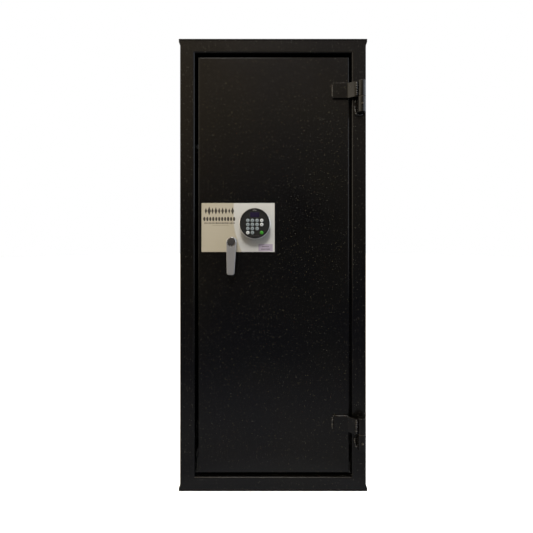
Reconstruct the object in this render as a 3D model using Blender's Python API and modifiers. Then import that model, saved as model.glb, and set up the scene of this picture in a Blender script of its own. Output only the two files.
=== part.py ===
# Gun safe: a welded cabinet, a hinged door with sliding round bolts, a keypad and a lever.
# Metres, +Z up. The door faces -Y. The origin is the centre of the base.
import math

import bmesh
import bpy
from mathutils import Matrix, Vector

# Driving dimensions
HEIGHT = 1.524
DEPTH = 0.508
PLATE_WIDTH = 0.635
PLATE = 0.00635
SIDE_WIDTH = 0.6258
WALL = 0.0048
GAP = 0.0003

OPENING_LEFT = -0.2636
OPENING_RIGHT = 0.2653
OPENING_LOW = 0.0477
OPENING_HIGH = 1.4765
FRAME_RETURN = 0.028
FRAME_BEND = 0.006

DOOR_LEFT = -0.2521
DOOR_RIGHT = 0.2565
DOOR_LOW = 0.0615
DOOR_HIGH = 1.4623
DOOR_RECESS = 0.001
DOOR_PLATE = 0.00635
DOOR_DEPTH = 0.060
DOOR_EDGE = 0.004

HINGE_X = 0.2943
HINGE_PROUD = 0.022
HINGE_SEAMS = {"lower": 0.203, "upper": 1.321}
BARREL_RADIUS = 0.0135
BASE_REACH = 0.050
BARREL_REACH = 0.0555
WASHER = 0.0015
PIN_RADIUS = 0.008
STRAP_HEIGHT = 0.0508
STRAP = 0.0095
STRAP_START = 0.2025
STRAP_BEND = 0.2535
STRAP_STEP = 0.2745
STRAP_INSIDE_BEND = 0.006
STRAP_ABOVE_SEAM = 0.0008
NIPPLE_RADIUS = 0.0032
NIPPLE_REACH = 0.0070

BOLT_RADIUS = 0.0127
BOLT_DEPTH = 0.0422
BOLT_HEIGHTS = (0.36, 0.74, 1.18)
BOLT_TRAVEL = 0.025

HANDLE_X = -0.1352
HANDLE_Z = 0.8419
HANDLE_LEAN = math.radians(1.5)
SPINDLE_RADIUS = 0.008
CRANK_PIN_RADIUS = 0.005
CRANK_RADIUS = BOLT_TRAVEL / math.sqrt(2)
CRANK_SLOT_CLEARANCE = 0.0009

ESCUTCHEON_LEFT = -0.2406
ESCUTCHEON_RIGHT = 0.0056
ESCUTCHEON_LOW = 0.8060
ESCUTCHEON_HIGH = 0.9706

KEYPAD_X = -0.0597
KEYPAD_Z = 0.9008
KEY_COLUMNS = (-0.0227, -0.0076, 0.0076, 0.0227)
KEY_ROWS = (0.0109, -0.0024, -0.0157, -0.0290)
KEY_RADIUS = 0.0056
KEY_FLANGE = 0.0063
KEY_CLEARANCE = 0.0003
WINDOW_HALF = 0.0150
WINDOW_LOW = 0.0215
WINDOW_HIGH = 0.0380
DRAWER_HALF = 0.0222
DRAWER_DROP = 0.070
DRAWER_TOP = 0.012
CABLE_HOLE = 0.010

SHELF_LOW = 1.170
SHELF_HIGH = 1.186
SHELF_FRONT = 0.100
RACK_MIDDLE = 0.940
RACK_BOARD = 0.018
RACK_DEPTH = 0.120
NOTCH_HALF = 0.017
NOTCH_REACH = 0.035
NOTCHES = 6
MAT_TOP = 0.0115
ANCHOR_X = 0.24
ANCHOR_FRONT = -0.12
ANCHOR_BACK = 0.19
ANCHOR_RADIUS = 0.0065

DEAD_BAR_LOW = 0.140
DEAD_BAR_HIGH = 1.384
DEAD_BAR_FRONT = 0.035
DEAD_BAR_REAR = 0.044
GUIDE_HALF = 0.021

BAR_LEFT, BAR_BEND, BAR_RIGHT = -0.197, -0.180, -0.176
BAR_FRONT, BAR_STEP, BAR_REAR = 0.022, 0.026, 0.055

FACE_Y = -DEPTH / 2
BACK_Y = DEPTH / 2
HALF_SIDE = SIDE_WIDTH / 2
ROUND = 32
SMALL_ROUND = 16

LOCK_LOW = Vector((-0.0905, FACE_Y + 0.0078, 0.8590))
LOCK_HIGH = Vector((-0.0265, FACE_Y + 0.0380, 0.9440))
LOCK_WALL = 0.003
SWING_X = -0.0785
SWING_Z = 0.8860
SWING_LENGTH = 0.036


def at(depth):
    """The y of a plane this far behind the frame's front face, or in front of it if negative."""
    return FACE_Y + depth


# Scene and collections

def cleared_scene():
    for item in list(bpy.data.objects):
        bpy.data.objects.remove(item)


def new_collection(name, hidden=False):
    collection = bpy.data.collections.new(name)
    bpy.context.scene.collection.children.link(collection)
    collection.hide_render = hidden
    return collection


def new_material(name, color, roughness, metallic):
    made = bpy.data.materials.new(name)
    made.use_nodes = True
    shader = made.node_tree.nodes["Principled BSDF"]
    shader.inputs["Base Color"].default_value = (*color, 1.0)
    shader.inputs["Roughness"].default_value = roughness
    shader.inputs["Metallic"].default_value = metallic
    made.diffuse_color = (*color, 1.0)
    return made


def new_axis(name, place, parent=None):
    """An empty on a joint's axis. Its location stays its place in the world, parented or not."""
    empty = bpy.data.objects.new(name, None)
    empty.empty_display_size = 0.05
    SAFE.objects.link(empty)
    empty.location = place
    hang(empty, parent)
    return empty


def hang(piece, parent):
    """Parents the piece to an axis and leaves it where it is in the world."""
    if parent is None:
        return
    piece.parent = parent
    piece.matrix_parent_inverse = Matrix.Translation(parent.location).inverted()


def finished(piece, material, parent=None, smooth=True):
    """Puts a piece in the safe's collection with its material, shading and parent."""
    SAFE.objects.link(piece)
    piece.data.materials.clear()
    piece.data.materials.append(material)
    if smooth:
        piece.data.shade_smooth()
        piece.data.set_sharp_from_angle(angle=math.radians(35))
    hang(piece, parent)
    return piece


def helper(piece):
    CUTTERS.objects.link(piece)
    piece.hide_render = True
    piece.display_type = "WIRE"
    return piece


# Shapes: each returns an object that is in no collection yet

def box(name, low, high, edge=0.0, segments=2):
    low, high = Vector(low), Vector(high)
    mesh = bpy.data.meshes.new(name)
    shape = bmesh.new()
    bmesh.ops.create_cube(shape, size=1.0)
    bmesh.ops.scale(shape, vec=high - low, verts=shape.verts)
    if edge:
        bmesh.ops.bevel(shape, geom=shape.edges, offset=edge, segments=segments, profile=0.5,
                        affect="EDGES")
    shape.to_mesh(mesh)
    shape.free()
    piece = bpy.data.objects.new(name, mesh)
    piece.location = (low + high) / 2
    return piece


def cylinder(name, radius, start, end, segments=ROUND, edge=0.0):
    """A cylinder from one point to another, with its end edges rounded."""
    start, end = Vector(start), Vector(end)
    mesh = bpy.data.meshes.new(name)
    shape = bmesh.new()
    bmesh.ops.create_cone(shape, cap_ends=True, segments=segments, radius1=radius, radius2=radius,
                          depth=(end - start).length)
    if edge:
        rims = [e for e in shape.edges if abs(e.verts[0].co.z - e.verts[1].co.z) < 1e-6]
        bmesh.ops.bevel(shape, geom=rims, offset=edge, segments=2, profile=0.5, affect="EDGES")
    shape.to_mesh(mesh)
    shape.free()
    piece = bpy.data.objects.new(name, mesh)
    piece.location = (start + end) / 2
    piece.rotation_mode = "QUATERNION"
    piece.rotation_quaternion = Vector((0, 0, 1)).rotation_difference(end - start)
    return piece


def turned(name, profile, place, steps=ROUND * 2):
    """A closed profile of (radius, proud) pairs turned round an axis that runs out of the door."""
    mesh = bpy.data.meshes.new(name)
    count = len(profile)
    mesh.from_pydata([(radius, 0, proud) for radius, proud in profile],
                     [(i, (i + 1) % count) for i in range(count)], [])
    piece = bpy.data.objects.new(name, mesh)
    piece.location = place
    piece.rotation_euler = (math.pi / 2, 0, 0)
    screw = piece.modifiers.new("turn", "SCREW")
    screw.steps = screw.render_steps = steps
    screw.use_merge_vertices = True
    screw.merge_threshold = 0.00001
    return piece


def outline(name, loops, thickness, bevel=0.0):
    """A flat plate from closed loops of (x, y) points, centred on its own z = 0."""
    curve = bpy.data.curves.new(name, "CURVE")
    curve.dimensions = "2D"
    curve.fill_mode = "BOTH"
    curve.extrude = thickness / 2
    for loop in loops:
        spline = curve.splines.new("POLY")
        spline.points.add(len(loop) - 1)
        for point, (x, y) in zip(spline.points, loop):
            point.co = (x, y, 0, 1)
        spline.use_cyclic_u = True
    source = bpy.data.objects.new(name + "_curve", curve)
    bpy.context.scene.collection.objects.link(source)
    graph = bpy.context.evaluated_depsgraph_get()
    mesh = bpy.data.meshes.new_from_object(source.evaluated_get(graph))
    bpy.data.objects.remove(source)
    mesh.name = name
    shape = bmesh.new()
    shape.from_mesh(mesh)
    bmesh.ops.remove_doubles(shape, verts=shape.verts, dist=0.00001)
    bmesh.ops.dissolve_limit(shape, angle_limit=0.001, verts=shape.verts, edges=shape.edges)
    bmesh.ops.recalc_face_normals(shape, faces=shape.faces)
    if bevel:
        top = thickness / 2
        rims = [e for e in shape.edges
                if all(abs(v.co.z - top) < 1e-6 for v in e.verts) and len(e.link_faces) == 2
                and e.calc_face_angle() > 0.5]
        bmesh.ops.bevel(shape, geom=rims, offset=bevel, segments=2, profile=0.5, affect="EDGES")
    shape.to_mesh(mesh)
    shape.free()
    return bpy.data.objects.new(name, mesh)


def arc(centre, radius, first, last, steps):
    """Points on a circle between two angles in degrees, ends included."""
    turns = [math.radians(first + (last - first) * i / steps) for i in range(steps + 1)]
    return [(centre[0] + radius * math.cos(t), centre[1] + radius * math.sin(t)) for t in turns]


def upright(piece, depth):
    """Stands a flat outline up so that its x and y become the world's x and z."""
    piece.rotation_euler = (math.pi / 2, 0, 0)
    piece.location.y = at(depth)
    return piece


def cut(piece, cutter):
    change(piece, helper(cutter), "DIFFERENCE")


def weld(piece, other):
    change(piece, helper(other), "UNION")


def change(piece, other, operation):
    boolean = piece.modifiers.new(other.name, "BOOLEAN")
    boolean.operation = operation
    boolean.solver = "EXACT"
    boolean.object = other


# Cabinet

def end_plate(name, level, up):
    """The top or bottom plate, with the welds under its overhangs. up is 1 at the top, -1 below."""
    lip = SIDE_WIDTH / 2 + GAP
    edge = PLATE_WIDTH / 2
    weld_start = 0.010
    weld_end = 0.022
    half = [(edge, 0), (edge, -weld_start), (lip, -weld_end), (lip, -PLATE)]
    loop = half + [(-x, z) for x, z in reversed(half)]
    plate = outline(name, [[(x, level + up * z) for x, z in loop]], DEPTH)
    plate.rotation_euler = (math.pi / 2, 0, 0)
    return finished(plate, PAINT, smooth=False)


def anchor_places():
    return [(x, y) for x in (-ANCHOR_X, ANCHOR_X) for y in (ANCHOR_FRONT, ANCHOR_BACK)]


def make_plates():
    end_plate("top_plate", HEIGHT, 1)
    bottom = end_plate("bottom_plate", 0.0, -1)
    for i, (x, y) in enumerate(anchor_places()):
        cut(bottom, cylinder(f"anchor_hole_{i}", ANCHOR_RADIUS, (x, y, -0.01), (x, y, 0.02), SMALL_ROUND))


def make_walls():
    low, high = PLATE + GAP, HEIGHT - PLATE - GAP
    front = at(WALL + GAP)
    for name, side in (("left_side", -1), ("right_side", 1)):
        xs = sorted((side * (HALF_SIDE - WALL), side * HALF_SIDE))
        finished(box(name, (xs[0], front, low), (xs[1], BACK_Y, high)), PAINT)
    inner = HALF_SIDE - WALL - GAP
    finished(box("back_panel", (-inner, BACK_Y - WALL, low), (inner, BACK_Y, high)), PAINT)


def frame_section(width, shoulder):
    """Two faces of a folded channel: (distance from the opening, depth) of each corner."""
    bend, inner = FRAME_BEND, FRAME_BEND - WALL
    outer_arc = [(bend - x, bend - y) for x, y in arc((0, 0), bend, 90, 0, 5)]
    inner_arc = [(bend - x, bend - y) for x, y in arc((0, 0), inner, 0, 90, 2)]
    main = [(shoulder, 0.0)] + outer_arc + [(0.0, FRAME_RETURN), (WALL, FRAME_RETURN)]
    main += inner_arc + [(shoulder, WALL)]
    rest = [(width, 0.0), (shoulder, 0.0), (shoulder, WALL), (width, WALL)]
    return [main] + ([rest] if width > shoulder else [])


def frame_member(name, width, shoulder, ends, place):
    """A mitred side of the face frame. place turns (along, out, depth) into x, y and z."""
    shape = bmesh.new()
    corners = {}

    def corner(out, depth, along):
        key = (round(out, 7), round(depth, 7))
        if key not in corners:
            corners[key] = shape.verts.new(place(along, out, depth))
        return corners[key]

    faces = []
    for loop in frame_section(width, shoulder):
        start = [corner(out, depth, ends[0] - min(out, shoulder)) for out, depth in loop]
        faces.append(shape.faces.new(start))
    far = {vert: Vector(place(ends[1] + min(out, shoulder), out, depth))
           for (out, depth), vert in corners.items()}
    near = {tuple(vert.co): vert for vert in far}
    made = bmesh.ops.extrude_face_region(shape, geom=faces, use_keep_orig=True)
    for item in made["geom"]:
        if isinstance(item, bmesh.types.BMVert):
            item.co = far[near[tuple(item.co)]]
    bmesh.ops.recalc_face_normals(shape, faces=shape.faces)
    mesh = bpy.data.meshes.new(name)
    shape.to_mesh(mesh)
    shape.free()
    return finished(bpy.data.objects.new(name, mesh), PAINT)


def make_face_frame():
    shoulder = min(HEIGHT - PLATE - OPENING_HIGH, OPENING_LOW - PLATE) - GAP
    upright_ends = (OPENING_LOW, OPENING_HIGH)
    level_ends = (OPENING_LEFT + GAP, OPENING_RIGHT - GAP)
    frame_member("left_jamb", HALF_SIDE + OPENING_LEFT, shoulder, upright_ends,
                 lambda along, out, depth: (OPENING_LEFT - out, at(depth), along))
    frame_member("right_jamb", HALF_SIDE - OPENING_RIGHT, shoulder, upright_ends,
                 lambda along, out, depth: (OPENING_RIGHT + out, at(depth), along))
    frame_member("header_rail", shoulder, shoulder, level_ends,
                 lambda along, out, depth: (along, at(depth), OPENING_HIGH + out))
    frame_member("sill_rail", shoulder, shoulder, level_ends,
                 lambda along, out, depth: (along, at(depth), OPENING_LOW - out))


def make_interior():
    side = HALF_SIDE - WALL - GAP
    back = BACK_Y - WALL - GAP
    mat = box("floor_mat", (-0.300, at(0.075), PLATE + GAP), (0.300, back - 0.004, MAT_TOP))
    washer_room = 0.011
    for i, (x, y) in enumerate(anchor_places()):
        cut(mat, cylinder(f"mat_hole_{i}", washer_room, (x, y, 0), (x, y, 0.02), SMALL_ROUND))
    finished(mat, CARPET)
    finished(box("shelf", (-side, at(SHELF_FRONT), SHELF_LOW), (side, back, SHELF_HIGH)), CARPET)
    rack = outline("barrel_rack", [rack_outline(side, back)], RACK_BOARD)
    rack.location.z = RACK_MIDDLE
    finished(rack, CARPET)


def rack_outline(side, back):
    """A shelf board with round-ended notches along its front, one for each barrel."""
    front = back - RACK_DEPTH
    points = [(side, back), (-side, back), (-side, front)]
    pitch = 2 * side / NOTCHES
    for i in range(NOTCHES):
        middle = -side + pitch * (i + 0.5)
        points.append((middle - NOTCH_HALF, front))
        points += arc((middle, front + NOTCH_REACH), NOTCH_HALF, 180, 0, 6)
        points.append((middle + NOTCH_HALF, front))
    return points + [(side, front)]


# Hinges

def make_fixed_hinge(level, seam):
    axis_y = at(-HINGE_PROUD)
    low = seam - BASE_REACH
    base = cylinder(f"hinge_base_{level}", BARREL_RADIUS, (HINGE_X, axis_y, low),
                    (HINGE_X, axis_y, seam))
    weld(base, box(f"hinge_foot_{level}", (HINGE_X - BARREL_RADIUS, axis_y, low),
                   (HINGE_X + BARREL_RADIUS, at(-GAP), seam)))
    cut(base, cylinder(f"pin_bore_{level}", PIN_RADIUS + GAP, (HINGE_X, axis_y, low - 0.01),
                       (HINGE_X, axis_y, seam + 0.01)))
    finished(base, PAINT)
    pin_short = 0.004
    finished(cylinder(f"hinge_pin_{level}", PIN_RADIUS, (HINGE_X, axis_y, low + pin_short),
                      (HINGE_X, axis_y, seam + 0.047), edge=0.001), STEEL)
    washer = cylinder(f"hinge_washer_{level}", BARREL_RADIUS - 0.0004,
                      (HINGE_X, axis_y, seam + GAP), (HINGE_X, axis_y, seam + GAP + WASHER))
    cut(washer, cylinder(f"washer_bore_{level}", PIN_RADIUS + GAP,
                         (HINGE_X, axis_y, seam - 0.01), (HINGE_X, axis_y, seam + 0.01)))
    finished(washer, STEEL)
    out = Vector((0, -1, 0))
    middle = Vector((HINGE_X, axis_y, seam - BASE_REACH / 2))
    foot = middle + out * (BARREL_RADIUS + GAP)
    nipple = cylinder(f"grease_nipple_{level}", NIPPLE_RADIUS, foot, foot + out * NIPPLE_REACH,
                      SMALL_ROUND, edge=0.0008)
    finished(nipple, STEEL)


def filleted(corners, steps=4):
    """A loop of (x, y, radius) corners, each with a radius turned into an arc."""
    points = []
    for i, (x, y, radius) in enumerate(corners):
        here = Vector((x, y))
        if not radius:
            points.append(tuple(here))
            continue
        before = (Vector(corners[i - 1][:2]) - here).normalized()
        after = (Vector(corners[(i + 1) % len(corners)][:2]) - here).normalized()
        half = before.angle(after) / 2
        centre = here + (before + after).normalized() * radius / math.sin(half)
        reach = radius / math.tan(half)
        first, last = here + before * reach - centre, here + after * reach - centre
        turn = math.atan2(first.cross(last), first.dot(last))
        for step in range(steps + 1):
            points.append(tuple(centre + Matrix.Rotation(turn * step / steps, 2) @ first))
    return points


def strap_outline():
    """The door leaf from above: flat on the door, bent out to the barrel's middle."""
    back = DOOR_RECESS - GAP
    step_back = -HINGE_PROUD + STRAP / 2
    end = HINGE_X - BARREL_RADIUS - 0.0005
    slope = math.atan2(back - step_back, STRAP_STEP - STRAP_BEND)
    mitre = STRAP * math.tan(slope / 2)
    inside = STRAP_INSIDE_BEND
    outside = inside + STRAP
    corners = [(STRAP_START, back, 0), (STRAP_BEND, back, outside), (STRAP_STEP, step_back, inside),
               (end, step_back, 0), (end, step_back - STRAP, 0),
               (STRAP_STEP - mitre, step_back - STRAP, outside),
               (STRAP_BEND - mitre, back - STRAP, inside), (STRAP_START, back - STRAP, 0)]
    return filleted([(x, at(depth), radius) for x, depth, radius in corners])


def make_door_hinge(level, seam):
    axis_y = at(-HINGE_PROUD)
    low = seam + WASHER + 2 * GAP
    strap = outline(f"hinge_strap_{level}", [strap_outline()], STRAP_HEIGHT)
    strap.location.z = seam + STRAP_ABOVE_SEAM + STRAP_HEIGHT / 2
    finished(strap, PAINT, DOOR_AXIS)
    barrel = cylinder(f"hinge_barrel_{level}", BARREL_RADIUS, (HINGE_X, axis_y, low),
                      (HINGE_X, axis_y, seam + BARREL_REACH), edge=0.001)
    cut(barrel, cylinder(f"barrel_bore_{level}", PIN_RADIUS + GAP,
                         (HINGE_X, axis_y, seam - 0.01), (HINGE_X, axis_y, seam + 0.050)))
    finished(barrel, PAINT, DOOR_AXIS)


# Door

def make_door_panel():
    panel = box("door_panel", (DOOR_LEFT, at(DOOR_RECESS), DOOR_LOW),
                (DOOR_RIGHT, at(DOOR_RECESS + DOOR_DEPTH), DOOR_HIGH))
    shape = bmesh.new()
    shape.from_mesh(panel.data)
    front = min(v.co.y for v in shape.verts)
    rims = [e for e in shape.edges if all(abs(v.co.y - front) < 1e-6 for v in e.verts)]
    bmesh.ops.bevel(shape, geom=rims, offset=DOOR_EDGE, segments=4, profile=0.5, affect="EDGES")
    shape.to_mesh(panel.data)
    shape.free()
    skin = DOOR_PLATE
    cut(panel, box("door_hollow", (DOOR_LEFT + skin, at(DOOR_RECESS + skin), DOOR_LOW + skin),
                   (DOOR_RIGHT - skin, at(DOOR_DEPTH + 0.02), DOOR_HIGH - skin)))
    for i, z in enumerate(BOLT_HEIGHTS):
        cut(panel, cylinder(f"bolt_hole_{i}", BOLT_RADIUS + 0.0006, (DOOR_LEFT - 0.01, at(BOLT_DEPTH), z),
                            (DOOR_LEFT + 0.015, at(BOLT_DEPTH), z)))
    cut(panel, through_door("spindle_hole", SPINDLE_RADIUS + 0.001, HANDLE_X, HANDLE_Z))
    cut(panel, through_door("cable_hole", CABLE_HOLE, KEYPAD_X, KEYPAD_Z))
    finished(panel, PAINT, DOOR_AXIS)


def through_door(name, radius, x, z):
    return cylinder(name, radius, (x, at(-0.006), z), (x, at(0.012), z), SMALL_ROUND)


def make_door_inside():
    rear = DOOR_RECESS + DOOR_DEPTH + GAP
    inset, cover = 0.0076, 0.0016
    finished(box("door_cover", (DOOR_LEFT + inset, at(rear), DOOR_LOW + inset),
                 (DOOR_RIGHT - inset, at(rear + cover), DOOR_HIGH - inset)), CARPET, DOOR_AXIS)
    overlap = 0.009
    finished(box("dead_bar", (DOOR_RIGHT + GAP, at(DEAD_BAR_FRONT), DEAD_BAR_LOW),
                 (OPENING_RIGHT + overlap, at(DEAD_BAR_REAR), DEAD_BAR_HIGH), edge=0.001, segments=1),
             STEEL, DOOR_AXIS)
    for i, z in enumerate(BOLT_HEIGHTS):
        guide = box(f"bolt_guide_{i + 1}", (-0.2455, at(0.0077), z - GUIDE_HALF),
                    (-0.2280, at(0.058), z + GUIDE_HALF))
        cut(guide, cylinder(f"guide_bore_{i}", BOLT_RADIUS + 0.0004, (-0.26, at(BOLT_DEPTH), z),
                            (-0.22, at(BOLT_DEPTH), z)))
        finished(guide, STEEL, DOOR_AXIS)


# Lock case behind the keypad, with the bolt that swings out of its side

def make_lock():
    wall = Vector((LOCK_WALL, LOCK_WALL, LOCK_WALL))
    case = box("lock_case", LOCK_LOW, LOCK_HIGH)
    hollow_high = LOCK_HIGH - wall
    hollow_high.y = LOCK_HIGH.y + 0.01
    cut(case, box("lock_hollow", LOCK_LOW + wall, hollow_high))
    cut(case, box("lock_slot", (LOCK_LOW.x - 0.01, at(0.013), 0.876),
                  (LOCK_LOW.x + 0.01, at(0.035), 0.928)))
    finished(case, ZINC, DOOR_AXIS)
    tip, root = 0.004, 0.007
    reach = SWING_LENGTH - tip
    lean = math.degrees(math.asin((root - tip) / reach))
    loop = arc((0, 0), root, 180 - lean, 360 + lean, 12) + arc((0, reach), tip, lean, 180 - lean, 6)
    bolt = upright(outline("swing_bolt", [loop], 0.015), 0.024)
    bolt.location.x, bolt.location.z = SWING_X, SWING_Z
    stub = 0.005
    weld(bolt, cylinder("swing_stub", stub, (SWING_X, at(0.0112), SWING_Z), (SWING_X, at(0.0370), SWING_Z),
                        SMALL_ROUND))
    finished(bolt, BRASS, SWING_AXIS)


# Boltwork: an angle bar that carries the bolts, moved by a crank pin in its slot

def make_boltwork():
    loop = [(BAR_LEFT, at(BAR_FRONT)), (BAR_RIGHT, at(BAR_FRONT)), (BAR_RIGHT, at(BAR_REAR)),
            (BAR_BEND, at(BAR_REAR)), (BAR_BEND, at(BAR_STEP)), (BAR_LEFT, at(BAR_STEP))]
    beyond = 0.05
    low, high = BOLT_HEIGHTS[0] - beyond, BOLT_HEIGHTS[-1] + beyond
    bar = outline("bolt_bar", [loop], high - low)
    bar.location.z = (low + high) / 2
    overlap = BAR_RIGHT - 0.002
    weld(bar, box("yoke", (overlap, at(BAR_FRONT), 0.806), (-0.108, at(BAR_STEP), 0.850)))
    weld(bar, box("lock_tab", (overlap, at(BAR_FRONT), 0.8905), (-0.0925, at(BAR_STEP), 0.9045)))
    swing = CRANK_RADIUS / math.sqrt(2)
    half = CRANK_PIN_RADIUS + CRANK_SLOT_CLEARANCE
    middle = HANDLE_X + swing
    cut(bar, box("yoke_slot", (middle - half, at(0.015), HANDLE_Z - CRANK_RADIUS - half),
                 (middle + half, at(0.035), HANDLE_Z - swing + half)))
    finished(bar, ZINC, BOLT_AXIS)
    for i, z in enumerate(BOLT_HEIGHTS):
        bolt = cylinder(f"locking_bolt_{i + 1}", BOLT_RADIUS, (DOOR_LEFT + 0.0006, at(BOLT_DEPTH), z),
                        (BAR_BEND - GAP, at(BOLT_DEPTH), z), edge=0.0015)
        finished(bolt, CHROME, BOLT_AXIS)


# Handle

def lever_outline():
    """From the front, with the hub at the origin: wide round the hub and narrower at the tip."""
    hub, tip_half, length, corner = 0.01675, 0.0125, 0.108, 0.007
    loop = arc((0, 0), hub, 0, 180, 16)
    loop += arc((-tip_half + corner, -length + corner), corner, 180, 270, 4)
    loop += arc((tip_half - corner, -length + corner), corner, 270, 360, 4)
    cos, sin = math.cos(HANDLE_LEAN), math.sin(HANDLE_LEAN)
    return [(x * cos + y * sin, y * cos - x * sin) for x, y in loop]


def make_handle():
    def on_axis(proud):
        return (HANDLE_X, at(-proud), HANDLE_Z)

    lever = upright(outline("lever_handle", [lever_outline()], 0.011, bevel=0.002), -0.0495)
    lever.location.x, lever.location.z = HANDLE_X, HANDLE_Z
    weld(lever, cylinder("hub_boss", 0.0140, on_axis(0.0016), on_axis(0.0460)))
    finished(lever, SATIN, HANDLE_AXIS)
    finished(cylinder("hub_cap", 0.0130, on_axis(0.0553), on_axis(0.0585), edge=0.0010), DARK,
             HANDLE_AXIS)

    spindle = cylinder("handle_spindle", SPINDLE_RADIUS, on_axis(0.0013), on_axis(-0.0190), SMALL_ROUND)
    swing = CRANK_RADIUS / math.sqrt(2)
    pin_x, pin_z = HANDLE_X + swing, HANDLE_Z - swing
    root, tip = 0.012, 0.008
    lean = math.degrees(math.asin((root - tip) / CRANK_RADIUS))
    loop = arc((0, 0), root, 90 - lean, 270 + lean, 12)
    loop += arc((CRANK_RADIUS, 0), tip, -90 + lean, 90 - lean, 8)
    arm = upright(outline("crank_arm", [loop], 0.006), 0.017)
    arm.location.x, arm.location.z = HANDLE_X, HANDLE_Z
    arm.rotation_euler.y = math.radians(45)
    weld(spindle, arm)
    weld(spindle, cylinder("crank_pin", CRANK_PIN_RADIUS, (pin_x, at(0.018), pin_z),
                           (pin_x, at(0.030), pin_z), SMALL_ROUND))
    finished(spindle, STEEL, HANDLE_AXIS)


# Keypad

def make_escutcheon():
    plate = box("escutcheon_plate", (ESCUTCHEON_LEFT, at(-0.0009), ESCUTCHEON_LOW),
                (ESCUTCHEON_RIGHT, at(DOOR_RECESS - GAP), ESCUTCHEON_HIGH))
    cut(plate, through_door("plate_spindle_hole", SPINDLE_RADIUS + 0.001, HANDLE_X, HANDLE_Z))
    finished(plate, STAINLESS, DOOR_AXIS)


def make_keypad():
    middle = (KEYPAD_X, FACE_Y, KEYPAD_Z)
    housing = turned("keypad_housing", [
        (0.0445, 0.0013), (0.0470, 0.0030), (0.0500, 0.0300), (0.0500, 0.0360),
        (0.0470, 0.0360), (0.0470, 0.0300), (0.0440, 0.0045), (0.0060, 0.0045), (0.0060, 0.0013),
    ][::-1], middle)
    drawer_low = (KEYPAD_X - DRAWER_HALF, at(-0.0320), KEYPAD_Z - DRAWER_DROP)
    drawer_high = (KEYPAD_X + DRAWER_HALF, at(-0.0080), KEYPAD_Z - DRAWER_TOP)
    room = Vector((2 * GAP, 2 * GAP, 0))
    cut(housing, box("drawer_opening", Vector(drawer_low) - room, Vector(drawer_high) + room))
    finished(housing, BLACK, DOOR_AXIS)

    rim = [(0.0510, 0.0363), (0.0512, 0.0390), (0.0470, 0.0390), (0.0470, 0.0363)]
    finished(turned("keypad_rim", rim[::-1], middle), CHROME, DOOR_AXIS)
    bezel = [(0.0508, 0.0393), (0.0508, 0.0412), (0.0500, 0.0424), (0.0456, 0.0450), (0.0442, 0.0450),
             (0.0442, 0.0433), (0.0467, 0.0433), (0.0467, 0.0393)]
    finished(turned("keypad_bezel", bezel[::-1], middle), BLACK, DOOR_AXIS)

    face = cylinder("keypad_face", 0.0464, (KEYPAD_X, at(-0.0405), KEYPAD_Z),
                    (KEYPAD_X, at(-0.0430), KEYPAD_Z), ROUND * 2)
    for name, x, z in key_places():
        cut(face, cylinder(name + "_hole", KEY_RADIUS + KEY_CLEARANCE, (x, at(-0.035), z), (x, at(-0.047), z),
                           SMALL_ROUND))
    window_low = Vector((-WINDOW_HALF, 0, WINDOW_LOW))
    window_high = Vector((WINDOW_HALF, 0, WINDOW_HIGH))
    pocket = Vector((GAP, 0, GAP))
    base = Vector((KEYPAD_X, 0, KEYPAD_Z))
    cut(face, box("window_pocket", base + window_low - pocket + Vector((0, at(-0.0480), 0)),
                  base + window_high + pocket + Vector((0, at(-0.0415), 0))))
    finished(face, BLACK, DOOR_AXIS)
    finished(box("display_window", base + window_low + Vector((0, at(-0.0431), 0)),
                 base + window_high + Vector((0, at(-0.0418), 0))), SCREEN, DOOR_AXIS)

    drawer = box("battery_drawer", drawer_low, drawer_high)
    limit = cylinder("drawer_front_curve", 0.0488, (KEYPAD_X, at(-0.05), KEYPAD_Z),
                     (KEYPAD_X, at(0.01), KEYPAD_Z), ROUND * 2)
    change(drawer, helper(limit), "INTERSECT")
    finished(drawer, BLACK, DRAWER_AXIS)


def key_places():
    """(name, x, z) of each key: ten digits, two arrows, clear and enter."""
    names = (("key_1", "key_2", "key_3", "key_up"), ("key_4", "key_5", "key_6", "key_down"),
             ("key_7", "key_8", "key_9", None), ("key_clear", "key_0", None, "key_enter"))
    return [(name, KEYPAD_X + x, KEYPAD_Z + z)
            for row, z in zip(names, KEY_ROWS) for name, x in zip(row, KEY_COLUMNS) if name]


def make_keys():
    finishes = {"key_enter": GREEN, "key_clear": WHITE, "key_up": WHITE, "key_down": WHITE}
    stem, flange = KEY_RADIUS, KEY_FLANGE
    profile = [(0.0, 0.0448), (stem - 0.0012, 0.0448), (stem, 0.0438), (stem, 0.0401), (flange, 0.0401),
               (flange, 0.0387), (0.0, 0.0387)]
    for name, x, z in key_places():
        axis = new_axis(name + "_axis", (x, FACE_Y, z), DOOR_AXIS)
        key = bpy.data.objects.new(name, key_mesh(name, profile))
        key.location = (x, FACE_Y, z)
        key.rotation_euler = (math.pi / 2, 0, 0)
        finished(key, finishes.get(name, GREY), axis)


def key_mesh(name, profile):
    """The profile turned in full, with single points where it meets the axis."""
    mesh = bpy.data.meshes.new(name)
    shape = bmesh.new()
    verts = [shape.verts.new((radius, 0, proud)) for radius, proud in profile]
    edges = [shape.edges.new(pair) for pair in zip(verts, verts[1:])]
    bmesh.ops.spin(shape, geom=verts + edges, cent=(0, 0, 0), axis=(0, 0, 1), angle=2 * math.pi,
                   steps=SMALL_ROUND, use_merge=True)
    bmesh.ops.remove_doubles(shape, verts=shape.verts, dist=0.00001)
    bmesh.ops.recalc_face_normals(shape, faces=shape.faces)
    shape.to_mesh(mesh)
    shape.free()
    return mesh


cleared_scene()
SAFE = new_collection("gun_safe")
CUTTERS = new_collection("cutters", hidden=True)

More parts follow.
